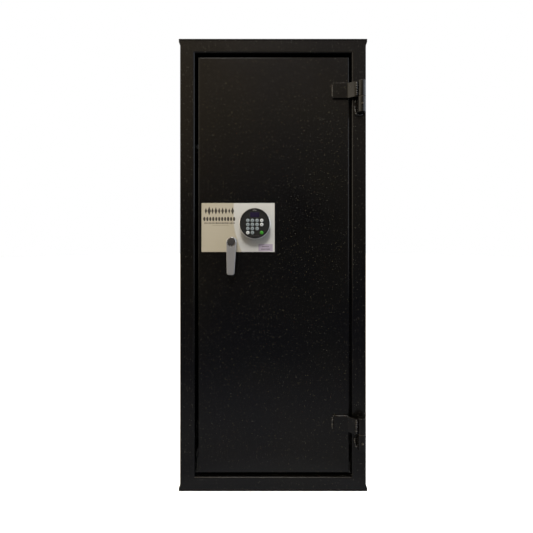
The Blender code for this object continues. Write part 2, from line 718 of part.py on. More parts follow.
PAINT = new_material("black_powder_coat", (0.012, 0.011, 0.011), 0.38, 0.0)
STEEL = new_material("steel", (0.42, 0.42, 0.43), 0.35, 1.0)
ZINC = new_material("zinc_plate", (0.50, 0.49, 0.46), 0.40, 1.0)
CHROME = new_material("bright_steel", (0.72, 0.72, 0.72), 0.12, 1.0)
SATIN = new_material("satin_lever", (0.40, 0.40, 0.39), 0.32, 1.0)
STAINLESS = new_material("brushed_stainless", (0.66, 0.64, 0.60), 0.30, 1.0)
BRASS = new_material("brass", (0.62, 0.45, 0.18), 0.35, 1.0)
DARK = new_material("dark_plastic", (0.05, 0.048, 0.048), 0.45, 0.0)
BLACK = new_material("keypad_black", (0.022, 0.022, 0.024), 0.40, 0.0)
SCREEN = new_material("display_screen", (0.03, 0.022, 0.06), 0.12, 0.0)
GREY = new_material("digit_key", (0.48, 0.52, 0.55), 0.45, 0.0)
WHITE = new_material("function_key", (0.78, 0.80, 0.82), 0.45, 0.0)
GREEN = new_material("enter_key", (0.05, 0.42, 0.03), 0.45, 0.0)
CARPET = new_material("grey_carpet", (0.10, 0.10, 0.11), 0.95, 0.0)

DOOR_AXIS = new_axis("door_axis", (HINGE_X, at(-HINGE_PROUD), 0))
HANDLE_AXIS = new_axis("handle_axis", (HANDLE_X, at(0), HANDLE_Z), DOOR_AXIS)
BOLT_AXIS = new_axis("bolt_axis", (BAR_BEND, at(BOLT_DEPTH), HANDLE_Z), DOOR_AXIS)
SWING_AXIS = new_axis("swing_bolt_axis", (SWING_X, at(0.024), SWING_Z), DOOR_AXIS)
DRAWER_AXIS = new_axis("drawer_axis", (KEYPAD_X, at(-0.020), KEYPAD_Z), DOOR_AXIS)

make_plates()
make_walls()
make_face_frame()
make_interior()
for level_name, seam_height in HINGE_SEAMS.items():
    make_fixed_hinge(level_name, seam_height)
    make_door_hinge(level_name, seam_height)
make_door_panel()
make_door_inside()
make_lock()
make_boltwork()
make_handle()
make_escutcheon()
make_keypad()
make_keys()
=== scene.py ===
import math

import bmesh
import bpy
from mathutils import Matrix, Vector


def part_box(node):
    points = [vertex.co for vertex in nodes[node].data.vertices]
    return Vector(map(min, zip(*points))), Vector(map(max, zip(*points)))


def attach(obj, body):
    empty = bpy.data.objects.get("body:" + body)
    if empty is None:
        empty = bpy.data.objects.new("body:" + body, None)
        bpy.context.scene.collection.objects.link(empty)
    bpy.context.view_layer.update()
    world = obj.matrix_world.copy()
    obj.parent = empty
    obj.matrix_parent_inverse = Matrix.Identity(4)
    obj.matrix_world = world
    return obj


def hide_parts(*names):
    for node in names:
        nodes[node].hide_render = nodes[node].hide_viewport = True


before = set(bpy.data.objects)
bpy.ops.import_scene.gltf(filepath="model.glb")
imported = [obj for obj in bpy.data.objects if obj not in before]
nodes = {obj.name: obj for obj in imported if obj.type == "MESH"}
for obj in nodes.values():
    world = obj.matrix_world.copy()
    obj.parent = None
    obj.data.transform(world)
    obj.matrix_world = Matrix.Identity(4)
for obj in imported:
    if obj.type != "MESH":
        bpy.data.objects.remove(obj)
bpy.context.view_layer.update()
print("frame loaded:", len(nodes), "nodes")


# Places taken from the frame

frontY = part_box("left_jamb")[0].y          # front of the face frame
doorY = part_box("door_panel")[0].y          # front of the door


def proud(distance):
    # y of a plane this far in front of the face frame
    return frontY - distance


def middleOf(node):
    low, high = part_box(node)
    return (low + high) / 2


hubX, _, hubZ = middleOf("hub_cap")        # the lever's axis
padX, _, padZ = middleOf("keypad_rim")     # the keypad's axis


# Node trees

def isSocket(value):
    return isinstance(value, bpy.types.NodeSocket)


def addNode(tree, kind, values=None, **settings):
    made = tree.nodes.new(kind)
    for key, value in settings.items():
        setattr(made, key, value)
    for key, value in (values or {}).items():
        if isSocket(value):
            tree.links.new(value, made.inputs[key])
        else:
            made.inputs[key].default_value = value
    return made


def outOf(tree, kind, values=None, **settings):
    # the first output of a new node
    return addNode(tree, kind, values, **settings).outputs[0]


def mathNode(tree, operation, *values):
    return outOf(tree, "ShaderNodeMath", dict(enumerate(values)), operation=operation)


def times(tree, first, second):
    return mathNode(tree, "MULTIPLY", first, second)


def vectorNode(tree, **parts):
    return outOf(tree, "ShaderNodeCombineXYZ", parts)


def rangeNode(tree, value, low, high, start=0.0, end=1.0):
    # runs from low to high while the value runs from start to end
    return outOf(tree, "ShaderNodeMapRange", {
        "Value": value, "From Min": start, "From Max": end, "To Min": low, "To Max": high})


def rampNode(tree, factor, stops, interpolation="LINEAR"):
    ramp = addNode(tree, "ShaderNodeValToRGB", {"Fac": factor})
    ramp.color_ramp.interpolation = interpolation
    while len(ramp.color_ramp.elements) < len(stops):
        ramp.color_ramp.elements.new(0.5)
    for element, (place, color) in zip(ramp.color_ramp.elements, stops):
        element.position = place
        element.color = (*color, 1.0)
    return ramp.outputs["Color"]


def mixColor(tree, factor, first, second, blend="MIX"):
    first, second = (color if isSocket(color) else (*color, 1.0) for color in (first, second))
    values = {0: factor, 6: first, 7: second}
    return addNode(tree, "ShaderNodeMix", values, data_type="RGBA", blend_type=blend).outputs[2]


def timesColor(tree, first, second):
    return mixColor(tree, 1.0, first, second, "MULTIPLY")


def noiseNode(tree, coords, scale, detail=2.0, rough=0.5):
    return outOf(tree, "ShaderNodeTexNoise", {
        "Vector": coords, "Scale": scale, "Detail": detail, "Roughness": rough})


def bumpNode(tree, height, strength, distance, normal=None):
    values = {"Height": height, "Strength": strength, "Distance": distance}
    if normal is not None:
        values["Normal"] = normal
    return outOf(tree, "ShaderNodeBump", values)


def whiteWhenSeen(tree, color):
    # white where the camera looks straight at it, and the given color in reflections and as light
    seen = addNode(tree, "ShaderNodeLightPath").outputs["Is Camera Ray"]
    return mixColor(tree, seen, color, (1.0, 1.0, 1.0)), seen


def newMaterial(name, values):
    # a Principled material: values that are the same all over go on the shader's own sockets
    material = bpy.data.materials.new(name)
    material.use_nodes = True
    tree = material.node_tree
    shader = tree.nodes["Principled BSDF"]
    for key, value in values.items():
        shader.inputs[key].default_value = (*value, 1.0) if isinstance(value, tuple) else value
    coords = addNode(tree, "ShaderNodeTexCoord").outputs["Object"]
    return material, tree, shader, coords


def feed(shader, sockets):
    for key, socket in sockets.items():
        shader.id_data.links.new(socket, shader.inputs[key])


# Finishes

paintLook = {
    "dark": (0.0010, 0.0010, 0.0017),
    "warm": (0.0027, 0.0023, 0.0018),
    "roughness": (0.20, 0.29),
    "specular": 0.38,
    "weldRoughness": (0.08, 0.16),
    "weldSpecular": 1.0,
    # cells per metre, size in a cell, share of the cells that hold one, brightness
    "flecks": ((310.0, 0.27, 0.11, 0.11), (620.0, 0.28, 0.20, 0.05)),
    "fleckTints": ((0.0, (1.0, 0.96, 0.80)), (0.50, (0.80, 0.72, 0.42)), (0.74, (0.80, 0.36, 0.26)),
                   (0.84, (0.36, 0.66, 0.36)), (0.92, (0.45, 0.52, 0.80))),
    "peel": 0.10,
}


def makePaint(name, roughness, specular):
    look = paintLook
    material, tree, shader, coords = newMaterial(name, {"Specular IOR Level": specular})
    cloud = noiseNode(tree, coords, 2.6, 3.0)
    color = rampNode(tree, cloud, [(0.38, look["dark"]), (0.66, look["warm"])])
    # metallic flecks of two sizes, each cell with its own tint
    for scale, size, share, light in look["flecks"]:
        cells = addNode(tree, "ShaderNodeTexVoronoi", {"Vector": coords, "Scale": scale})
        parts = addNode(tree, "ShaderNodeSeparateColor", {"Color": cells.outputs["Color"]}).outputs
        near = mathNode(tree, "LESS_THAN", cells.outputs["Distance"], size)
        chosen = mathNode(tree, "LESS_THAN", parts["Red"], share)
        tint = rampNode(tree, parts["Green"], [
            (place, tuple(light * part for part in hue)) for place, hue in look["fleckTints"]], "CONSTANT")
        mask = times(tree, near, chosen)
        strength = mathNode(tree, "POWER", parts["Blue"], 1.6)
        color = mixColor(tree, times(tree, mask, strength), color, tint)
    wearing = noiseNode(tree, coords, 11.0, 4.0, 0.6)
    peel = bumpNode(tree, noiseNode(tree, coords, 380.0), look["peel"], 0.0006)
    grit = bumpNode(tree, noiseNode(tree, coords, 1500.0, 1.0), look["peel"] * 0.6, 0.0002, peel)
    feed(shader, {"Base Color": color, "Roughness": rangeNode(tree, wearing, *roughness), "Normal": grit})
    return material


def makeBrushed(name, light, dark, roughness, stretch, anisotropy=0.0, specks=0.0, metal=1.0):
    # brush lines run along the axis with the smallest stretch
    material, tree, shader, coords = newMaterial(name, {
        "Metallic": metal, "Anisotropic": anisotropy, "Anisotropic Rotation": 0.25 if anisotropy else 0.0})
    stretched = outOf(tree, "ShaderNodeMapping", {"Vector": coords, "Scale": stretch})
    fine = noiseNode(tree, stretched, 1.0, 5.0, 0.65)
    broad = noiseNode(tree, coords, 9.0)
    both = mathNode(tree, "MULTIPLY_ADD", fine, 0.7, times(tree, broad, 0.3))
    height = fine
    if specks:
        height = mathNode(tree, "MULTIPLY_ADD", noiseNode(tree, coords, 900.0), specks, fine)
    feed(shader, {"Base Color": rampNode(tree, both, [(0.30, dark), (0.68, light)]),
                  "Roughness": rangeNode(tree, fine, *roughness),
                  "Normal": bumpNode(tree, height, 0.10, 0.00008)})
    if anisotropy:
        feed(shader, {"Tangent": outOf(tree, "ShaderNodeTangent", direction_type="RADIAL", axis="Z")})
    return material


# a painted reflection: the warm left part of the plate stands in for the warm surround it mirrors
plateReflectionPaint = {
    "warm": (0.80, 0.735, 0.60),
    "line": -0.1323,          # x of the line between the painted warm reflection and the clear side
    "lineHalf": 0.002,
    "drift": 0.027,           # how far the line drifts to the right at the foot
    "driftStart": 0.905,
    "driftDepth": 0.099,
}


def paintPlateReflection(material):
    # painted reflection: the left part of the plate is tinted warm, as if it mirrored a warm surround, up
    # to a line that curves off to the right
    tree = material.node_tree
    shader = tree.nodes["Principled BSDF"]
    coords = addNode(tree, "ShaderNodeTexCoord").outputs["Object"]
    parts = addNode(tree, "ShaderNodeSeparateXYZ", {"Vector": coords}).outputs
    start, line, half = plateReflectionPaint["driftStart"], plateReflectionPaint["line"], plateReflectionPaint["lineHalf"]
    fall = rangeNode(tree, parts["Z"], 0.0, 1.0, start, start - plateReflectionPaint["driftDepth"])
    drift = times(tree, mathNode(tree, "POWER", fall, 1.5), plateReflectionPaint["drift"])
    side = mathNode(tree, "SUBTRACT", parts["X"], drift)
    clear = rangeNode(tree, side, 0.0, 1.0, line - half, line + half)
    before = shader.inputs["Base Color"].links[0].from_socket
    paintedReflection = mixColor(tree, clear, plateReflectionPaint["warm"], (1.0, 1.0, 1.0))
    feed(shader, {"Base Color": timesColor(tree, before, paintedReflection)})


def makePlastic(name, color, roughness, grain, strength, shift=0.12, specular=0.5):
    material, tree, shader, coords = newMaterial(name, {"Specular IOR Level": specular})
    darker = tuple(c * (1 - shift) for c in color)
    patch = noiseNode(tree, coords, 60.0, 3.0)
    feed(shader, {"Base Color": rampNode(tree, patch, [(0.3, darker), (0.7, color)]),
                  "Roughness": rangeNode(tree, patch, *roughness),
                  "Normal": bumpNode(tree, noiseNode(tree, coords, grain), strength, 0.00015)})
    return material


def makeCarpet():
    material, tree, shader, coords = newMaterial("greyCarpet", {
        "Roughness": 0.95, "Specular IOR Level": 0.15, "Sheen Weight": 0.35, "Sheen Roughness": 0.5})
    tufts = addNode(tree, "ShaderNodeTexVoronoi", {"Vector": coords, "Scale": 520.0})
    fuzz = noiseNode(tree, coords, 950.0, 3.0, 0.7)
    patch = noiseNode(tree, coords, 14.0, 3.0)
    color = rampNode(tree, fuzz, [(0.25, (0.020, 0.021, 0.024)), (0.75, (0.085, 0.087, 0.092))])
    shade = rampNode(tree, patch, [(0.3, (0.78, 0.78, 0.78)), (0.7, (1.0, 1.0, 1.0))])
    pile = mathNode(tree, "MULTIPLY_ADD", fuzz, 0.6, tufts.outputs["Distance"])
    feed(shader, {"Base Color": timesColor(tree, color, shade),
                  "Normal": bumpNode(tree, pile, 0.9, 0.0012)})
    return material


# name: (light, dark, roughness, stretch), then what differs from plain bare metal
brushedLooks = {
    "brushedStainless": (((0.60, 0.60, 0.58), (0.555, 0.555, 0.54), (0.26, 0.34), (14.0, 14.0, 1900.0)),
                         {"anisotropy": 0.92, "metal": 0.35}),
    "satinMetal": (((0.335, 0.335, 0.345), (0.29, 0.29, 0.30), (0.34, 0.44), (900.0, 900.0, 40.0)),
                   {"specks": 0.8, "metal": 0.60}),
    "turnedSteel": (((0.50, 0.50, 0.51), (0.34, 0.34, 0.35), (0.25, 0.42), (500.0, 90.0, 500.0)), {}),
    "agedSteel": (((0.16, 0.145, 0.12), (0.07, 0.06, 0.05), (0.35, 0.50), (300.0, 300.0, 300.0)), {}),
    "zincPlate": (((0.60, 0.58, 0.50), (0.42, 0.40, 0.33), (0.30, 0.48), (120.0, 120.0, 120.0)),
                  {"specks": 0.5}),
    "rimSteel": (((0.92, 0.92, 0.91), (0.84, 0.84, 0.84), (0.26, 0.36), (200.0, 200.0, 200.0)),
                 {"metal": 0.75}),
    "brightSteel": (((0.86, 0.86, 0.86), (0.74, 0.74, 0.75), (0.10, 0.20), (60.0, 500.0, 500.0)), {}),
    "brass": (((0.66, 0.48, 0.20), (0.48, 0.33, 0.12), (0.25, 0.40), (300.0, 300.0, 300.0)), {}),
}
# name: (color, roughness, grain, strength), then what differs from plain plastic
plasticLooks = {
    "darkCap": (((0.030, 0.028, 0.028), (0.42, 0.55), 1400.0, 0.25), {"specular": 0.3}),
    "keypadBlack": (((0.0100, 0.0100, 0.0105), (0.36, 0.50), 1700.0, 0.30), {"specular": 0.4}),
    "digitRubber": (((0.20, 0.235, 0.25), (0.50, 0.62), 900.0, 0.10), {"shift": 0.06}),
    "whiteRubber": (((0.46, 0.475, 0.48), (0.50, 0.62), 900.0, 0.10), {"shift": 0.05}),
    "greenRubber": (((0.028, 0.24, 0.012), (0.46, 0.58), 900.0, 0.10), {"shift": 0.08}),
    "inkDark": (((0.022, 0.024, 0.030), (0.50, 0.60), 800.0, 0.05), {"specular": 0.3}),
    "etchedInk": (((0.055, 0.048, 0.040), (0.50, 0.65), 900.0, 0.10), {"shift": 0.35, "specular": 0.3}),
    "labelPaper": (((0.32, 0.28, 0.345), (0.42, 0.50), 700.0, 0.04), {"shift": 0.04}),
    "screenGlass": (((0.014, 0.010, 0.028), (0.10, 0.16), 200.0, 0.02), {"shift": 0.2}),
}
finishes = {
    "paint": makePaint("blackPowderCoat", paintLook["roughness"], paintLook["specular"]),
    "paintedWeld": makePaint("paintedWeld", paintLook["weldRoughness"], paintLook["weldSpecular"]),
    "carpet": makeCarpet(),
}
for name, (look, further) in brushedLooks.items():
    finishes[name] = makeBrushed(name, *look, **further)
for name, (look, further) in plasticLooks.items():
    finishes[name] = makePlastic(name, *look, **further)
# paints a warm reflection onto the left part of the plate
paintPlateReflection(finishes["brushedStainless"])
print("finishes made")


# Mesh making

def plainMesh(piece):
    graph = bpy.context.evaluated_depsgraph_get()
    return bpy.data.meshes.new_from_object(piece.evaluated_get(graph), depsgraph=graph)


def linked(name, data):
    piece = bpy.data.objects.new(name, data)
    bpy.context.scene.collection.objects.link(piece)
    return piece


def meshOf(shape, name):
    mesh = bpy.data.meshes.new(name)
    shape.to_mesh(mesh)
    shape.free()
    return mesh


def flattened(piece):
    # the piece with its modifiers made real
    mesh = plainMesh(piece)
    piece.modifiers.clear()
    piece.data = mesh
    return piece


def joined(name, pieces):
    shape = bmesh.new()
    for piece in pieces:
        shape.from_mesh(piece.data)
        bpy.data.objects.remove(piece)
    return linked(name, meshOf(shape, name))


def rounded(piece, width, segments=2, angle=30.0):
    # edges rounded off, with the large faces kept flat to the eye
    piece.data.shade_smooth()
    if width:
        bevel = piece.modifiers.new("edges", "BEVEL")
        bevel.width = width
        bevel.segments = segments
        bevel.limit_method = "ANGLE"
        bevel.angle_limit = math.radians(angle)
    else:
        piece.data.set_sharp_from_angle(angle=math.radians(angle))
    weighted = piece.modifiers.new("shading", "WEIGHTED_NORMAL")
    weighted.weight = 100
    weighted.keep_sharp = True
    return flattened(piece)


def softened(node, width):
    # a merged copy of a node's mesh with its edges rounded off
    shape = bmesh.new()
    shape.from_mesh(nodes[node].data)
    bmesh.ops.remove_doubles(shape, verts=shape.verts, dist=0.00002)
    flat = math.radians(0.4)
    bmesh.ops.dissolve_limit(shape, angle_limit=flat, verts=shape.verts, edges=shape.edges)
    return rounded(linked(node + "_skin", meshOf(shape, node + "_skin")), width)


def settle(piece, finish, body, slot, *replaced):
    # gives a piece its finish, unless it has one already, and its place in the frame
    if finish:
        piece.data.materials.clear()
        piece.data.materials.append(finishes[finish])
    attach(piece, body)
    if replaced:
        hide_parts(*replaced)


def turned(name, profile, place, direction, steps=64, closed=False):
    # (radius, along) pairs turned round the line through place, in the given direction
    shape = bmesh.new()
    verts = [shape.verts.new((radius, 0, along)) for radius, along in profile]
    pairs = list(zip(verts, verts[1:]))
    if closed:
        pairs.append((verts[-1], verts[0]))
    edges = [shape.edges.new(pair) for pair in pairs]
    bmesh.ops.spin(shape, geom=verts + edges, cent=(0, 0, 0), axis=(0, 0, 1), angle=2 * math.pi,
                   steps=steps, use_merge=True)
    bmesh.ops.remove_doubles(shape, verts=shape.verts, dist=0.000005)
    bmesh.ops.recalc_face_normals(shape, faces=shape.faces)
    turn = Vector((0, 0, 1)).rotation_difference(Vector(direction)).to_matrix().to_4x4()
    bmesh.ops.transform(shape, matrix=Matrix.Translation(place) @ turn, verts=shape.verts)
    mesh = meshOf(shape, name)
    mesh.shade_smooth()
    mesh.set_sharp_from_angle(angle=math.radians(35.0))
    return linked(name, mesh)


def turnedOut(name, profile, x, z, steps=64, closed=False):
    # turned round an axis that points out of the front
    return turned(name, profile, (x, frontY, z), (0, -1, 0), steps, closed)


def arcPoints(centre, radius, first, last, steps):
    turns = [math.radians(first + (last - first) * i / steps) for i in range(steps + 1)]
    return [(centre[0] + radius * math.cos(t), centre[1] + radius * math.sin(t)) for t in turns]


def roundRim(shape, level, width, segments):
    # rounds off the edges that lie in one y plane
    rims = [e for e in shape.edges if all(abs(v.co.y - level) < 1e-7 for v in e.verts)]
    bmesh.ops.bevel(shape, geom=rims, offset=width, segments=segments, profile=0.5, affect="EDGES")


def plateMesh(name, loop, back, front, edge=0.0, segments=3):
    # a flat outline of (x, z) points that stands between two y planes, its front edge rounded
    shape = bmesh.new()
    face = shape.faces.new([shape.verts.new((x, back, z)) for x, z in loop])
    made = bmesh.ops.extrude_face_region(shape, geom=[face], use_keep_orig=True)
    for item in made["geom"]:
        if isinstance(item, bmesh.types.BMVert):
            item.co.y = front
    bmesh.ops.recalc_face_normals(shape, faces=shape.faces)
    if edge:
        roundRim(shape, front, edge, segments)
    return meshOf(shape, name)


def roundedBox(halfWidth, halfHeight, radius, centre, steps=5):
    x, z = centre
    corners = ((1, 1, 0), (-1, 1, 90), (-1, -1, 180), (1, -1, 270))
    loop = []
    for signX, signZ, first in corners:
        middle = (x + signX * (halfWidth - radius), z + signZ * (halfHeight - radius))
        loop += arcPoints(middle, radius, first, first + 90, steps)
    return loop


# Cabinet: one seamless frame round the opening, and the rest with its edges rounded off

faceFrameSize = {
    "wall": 0.0048,
    "bend": 0.006,
    "bendSteps": 8,
    "outerEdge": 0.0007,
    "innerEdge": 0.0004,
}


def makeFaceFrame():
    size = faceFrameSize
    leftLow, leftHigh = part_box("left_jamb")
    rightLow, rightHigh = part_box("right_jamb")
    sillLow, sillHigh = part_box("sill_rail")
    headLow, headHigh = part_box("header_rail")
    depth = leftHigh.y - leftLow.y
    bend, wall, edge, lip = size["bend"], size["wall"], size["outerEdge"], size["innerEdge"]

    def ring(out, y):
        return (leftHigh.x - out, rightLow.x + out, sillHigh.z - out, headLow.z + out, y)

    def rim(inset, y):
        return (leftLow.x + inset, rightHigh.x - inset, sillLow.z + inset, headHigh.z - inset, y)

    rings = [ring(wall, depth), ring(lip, depth), ring(0.0, depth - lip)]
    rings += [ring(x, y) for x, y in arcPoints((bend, bend), bend, 180, 270, size["bendSteps"])]
    rings += [rim(edge - x, edge - y) for x, y in arcPoints((0, 0), edge, 90, 0, 3)]
    rings.append(rim(0.0, wall))
    inner = bend - wall
    rings += [ring(x, y) for x, y in arcPoints((bend, bend), inner, 270, 180, 3)]
    shape = bmesh.new()
    loops = []
    for left, right, low, high, y in rings:
        corners = ((left, low), (right, low), (right, high), (left, high))
        loops.append([shape.verts.new((x, frontY + y, z)) for x, z in corners])
    for first, second in zip(loops, loops[1:] + loops[:1]):
        for i in range(4):
            shape.faces.new((first[i], first[(i + 1) % 4], second[(i + 1) % 4], second[i]))
    bmesh.ops.recalc_face_normals(shape, faces=shape.faces)
    piece = rounded(linked("face_frame", meshOf(shape, "face_frame")), 0.0, angle=28.0)
    settle(piece, "paint", "cabinet", "paint", "left_jamb", "right_jamb", "header_rail", "sill_rail")


softEdges = {
    # (body, finish, slot): width of each node's rounded edges
    ("cabinet", "paint", "paint"): {
        "top_plate": 0.0009, "bottom_plate": 0.0009, "left_side": 0.0006, "right_side": 0.0006,
        "back_panel": 0.0006, "hinge_base_lower": 0.0007, "hinge_base_upper": 0.0007},
    ("door", "paint", "paint"): {
        "hinge_strap_lower": 0.0009, "hinge_strap_upper": 0.0009, "door_panel": 0.0005, "dead_bar": 0.0006},
    ("cabinet", "carpet", "carpeted_board"): {"shelf": 0.0030, "barrel_rack": 0.0020},
    ("cabinet", "carpet", "carpet"): {"floor_mat": 0.0012},
    ("door", "carpet", "liner_sheet"): {"door_cover": 0.0005},
    ("boltwork", "zincPlate", "zinc_plate"): {"bolt_bar": 0.0005},
    ("door", "zincPlate", "zinc_plate"): {"lock_case": 0.0008},
    ("door", "brushedStainless", "stainless"): {"escutcheon_plate": 0.00035},
    ("door", "keypadBlack", "keypad_black"): {"keypad_housing": 0.0},
    ("battery_drawer", "keypadBlack", "keypad_black"): {"battery_drawer": 0.0006},
}


def makeSoftPieces():
    for (body, finish, slot), widths in softEdges.items():
        for node, width in widths.items():
            settle(softened(node, width), finish, body, slot, node)


carriedOver = {
    "turnedSteel": ("bolt_guide_1", "bolt_guide_2", "bolt_guide_3", "handle_spindle"),
    "brass": ("swing_bolt",),
}


def dressCarriedOver():
    for finish, names in carriedOver.items():
        for name in names:
            nodes[name].data.materials.clear()
            nodes[name].data.materials.append(finishes[finish])


makeFaceFrame()
makeSoftPieces()
dressCarriedOver()
print("cabinet and door dressed")


# Hinges and bolts: turned pieces

turnedEdges = {
    "hinge_barrel": 0.0014,
    "hinge_washer": 0.0003,
    "hinge_pin": 0.0010,
    "locking_bolt": 0.0022,
}
barrelFit = {
    "boreGap": 0.0003,
    "boreAbovePin": 0.003,
}


def turnedBar(node, body, finish, slot, bore=0.0, boreEnd=None, alongX=False):
    # a round bar in the place of a node: a sleeve if it has a bore, a cap if the bore ends inside
    low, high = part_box(node)
    middle = (low + high) / 2
    edge = turnedEdges[node.rsplit("_", 1)[0]]
    if alongX:
        radius, start, end = (high.z - low.z) / 2, low.x, high.x
        place, direction = (0, middle.y, middle.z), (1, 0, 0)
    else:
        radius, start, end = (high.x - low.x) / 2, low.z, high.z
        place, direction = (middle.x, middle.y, 0), (0, 0, 1)
    profile = [(bore, start)] + arcPoints((radius - edge, start + edge), edge, 270, 360, 5)
    profile += arcPoints((radius - edge, end - edge), edge, 0, 90, 5)
    if boreEnd is None:
        profile += [(bore, end)]
    else:
        profile += [(0, end), (0, boreEnd), (bore, boreEnd)]
    piece = turned(node + "_turned", profile, place, direction, 72, closed=bore > 0)
    settle(piece, finish, body, slot, node)


def makeTurnedPieces():
    for level in ("lower", "upper"):
        pinLow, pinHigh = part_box("hinge_pin_" + level)
        bore = (pinHigh.x - pinLow.x) / 2 + barrelFit["boreGap"]
        boreEnd = pinHigh.z + barrelFit["boreAbovePin"]
        turnedBar("hinge_barrel_" + level, "door", "paint", "paint", bore, boreEnd)
        turnedBar("hinge_washer_" + level, "cabinet", "agedSteel", "steel", bore)
        turnedBar("hinge_pin_" + level, "cabinet", "turnedSteel", "steel")
    for number in (1, 2, 3):
        turnedBar("locking_bolt_%d" % number, "boltwork", "brightSteel", "bright_steel", alongX=True)


greaseFitting = {
    "flange": 0.0036,
    "neck": 0.0021,
    "ball": 0.0026,
    "ballPlace": 0.0048,
}


def makeGreaseFittings():
    flange, neck, ball = greaseFitting["flange"], greaseFitting["neck"], greaseFitting["ball"]
    profile = [(0, 0), (flange, 0), (flange, 0.0018), (neck, 0.0024), (neck * 0.8, 0.0036)]
    profile += arcPoints((0, greaseFitting["ballPlace"]), ball, -42, 90, 8)
    for level in ("lower", "upper"):
        node = "grease_nipple_" + level
        axis, place = middleOf("hinge_pin_" + level), middleOf(node)
        direction = Vector((place.x - axis.x, place.y - axis.y, 0)).normalized()
        baseLow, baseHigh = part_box("hinge_base_" + level)
        out = (baseHigh.x - baseLow.x) / 2 + 0.0003
        foot = Vector((axis.x, axis.y, place.z)) + direction * out
        fitting = turned(node + "_turned", profile, foot, direction, 24)
        settle(fitting, "agedSteel", "cabinet", "steel", node)


makeTurnedPieces()
makeGreaseFittings()
print("hinges and bolts turned")


# Lever handle

leverShape = {
    "hub": 0.01675,
    "tipHalf": 0.0125,
    "length": 0.108,
    "corner": 0.007,
    "lean": math.radians(1.5),
    "edge": 0.0032,
    "backEdge": 0.0014,
    "back": 0.044,
    "front": 0.055,
    "boss": 0.0140,
    "bossGroove": (0.0130, 0.0142),
    "bossStep": 0.0010,
    "ringRadius": 0.0143,
    "capRadius": 0.0129,
}


def leverOutline():
    size = leverShape
    half, length, corner = size["tipHalf"], size["length"], size["corner"]
    loop = arcPoints((0, 0), size["hub"], 0, 180, 36)
    loop += arcPoints((-half + corner, -length + corner), corner, 180, 270, 8)
    loop += arcPoints((half - corner, -length + corner), corner, 270, 360, 8)
    turn = Matrix.Rotation(-size["lean"], 2)
    return [tuple(turn @ Vector(point)) for point in loop]


def makeBlade():
    size = leverShape
    loop = [(hubX + x, hubZ + z) for x, z in leverOutline()]
    backY = proud(size["back"])
    mesh = plateMesh("lever_blade", loop, backY, proud(size["front"]), size["edge"], 5)
    shape = bmesh.new()
    shape.from_mesh(mesh)
    roundRim(shape, backY, size["backEdge"], 3)
    shape.to_mesh(mesh)
    shape.free()
    blade = rounded(linked("lever_handle_blade", mesh), 0.0, angle=50.0)
    settle(blade, "satinMetal", "handle", "satin_metal", "lever_handle")


def makeHub():
    size = leverShape
    boss, back, step = size["boss"], size["back"], size["bossStep"]
    first, last = size["bossGroove"]
    profile = [(0, 0.0016), (boss - 0.0006, 0.0016), (boss, 0.0022), (boss, first - step),
               (boss - step, first), (boss - step, last), (boss, last + step), (boss, back - 0.0006),
               (boss - 0.0006, back), (0, back)]
    settle(turnedOut("lever_boss", profile, hubX, hubZ), "satinMetal", "handle", "satin_metal")
    ring = arcPoints((size["ringRadius"], 0.0552), 0.0011, 0, 360, 16)[:-1]
    settle(turnedOut("hub_ring", ring, hubX, hubZ, 72, True), "brightSteel", "handle", "satin_metal")
    radius = size["capRadius"]
    cap = [(0, 0.0553), (radius, 0.0553), (radius, 0.0562)]
    cap += arcPoints((radius - 0.0010, 0.0562), 0.0010, 0, 60, 4)
    cap += [(0.0100, 0.0575), (0.0060, 0.0581), (0.0, 0.0583)]
    settle(turnedOut("hub_cap_domed", cap, hubX, hubZ), "darkCap", "handle", "dark_cap", "hub_cap")


makeBlade()
makeHub()
print("lever made")


# Keypad

keypadShape = {
    "faceRadius": 0.0456,
    "faceLift": 0.0018,       # the cap sits a little high in its bright rim
    "faceBack": 0.0405,
    "faceFront": 0.0430,
    "keyHole": 0.0059,
    "holeBack": 0.035,        # the cuts run from here to holeFront, the window's from pocketBack
    "holeFront": 0.050,
    "pocketBack": 0.0415,
    "keyRadius": 0.0056,
    "keyFlange": 0.0063,
    "keyTop": 0.0448,
    "keyCrown": 0.0010,
    "legend": 0.0062,
    "legendDepth": 0.00006,
    "windowGap": 0.0003,
    "windowCorner": 0.0010,
}


def makeKeypadFace():
    size = keypadShape
    disc = arcPoints((padX, padZ + size["faceLift"]), size["faceRadius"], 0, 360, 96)[:-1]
    mesh = plateMesh("keypad_face_plate", disc, proud(size["faceBack"]), proud(size["faceFront"]))
    face = linked("keypad_face_plate", mesh)
    cutters = bmesh.new()
    for node in nodes:
        if node.startswith("key_"):
            middle = middleOf(node)
            hole = arcPoints((middle.x, middle.z), size["keyHole"], 0, 360, 32)[:-1]
            cutters.from_mesh(plateMesh("hole", hole, proud(size["holeBack"]), proud(size["holeFront"])))
    low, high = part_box("display_window")
    centre = ((low.x + high.x) / 2, (low.z + high.z) / 2)
    halfWidth, halfHeight = (high.x - low.x) / 2, (high.z - low.z) / 2
    gap, corner = size["windowGap"], size["windowCorner"]
    pocket = roundedBox(halfWidth + gap, halfHeight + gap, corner + 0.0002, centre)
    cutters.from_mesh(plateMesh("pocket", pocket, proud(size["pocketBack"]), proud(size["holeFront"])))
    cutter = linked("face_cutter", meshOf(cutters, "face_cutter"))
    boolean = face.modifiers.new("holes", "BOOLEAN")
    boolean.object = cutter
    boolean.solver = "EXACT"
    flattened(face)
    bpy.data.objects.remove(cutter)
    settle(rounded(face, 0.00022, 2), "keypadBlack", "door", "keypad_black", "keypad_face")
    outline = roundedBox(halfWidth, halfHeight, corner, centre)
    mesh = plateMesh("display_glass", outline, high.y, low.y, 0.0003)
    glass = rounded(linked("display_glass", mesh), 0.0)
    settle(glass, "screenGlass", "door", "screen", "display_window")


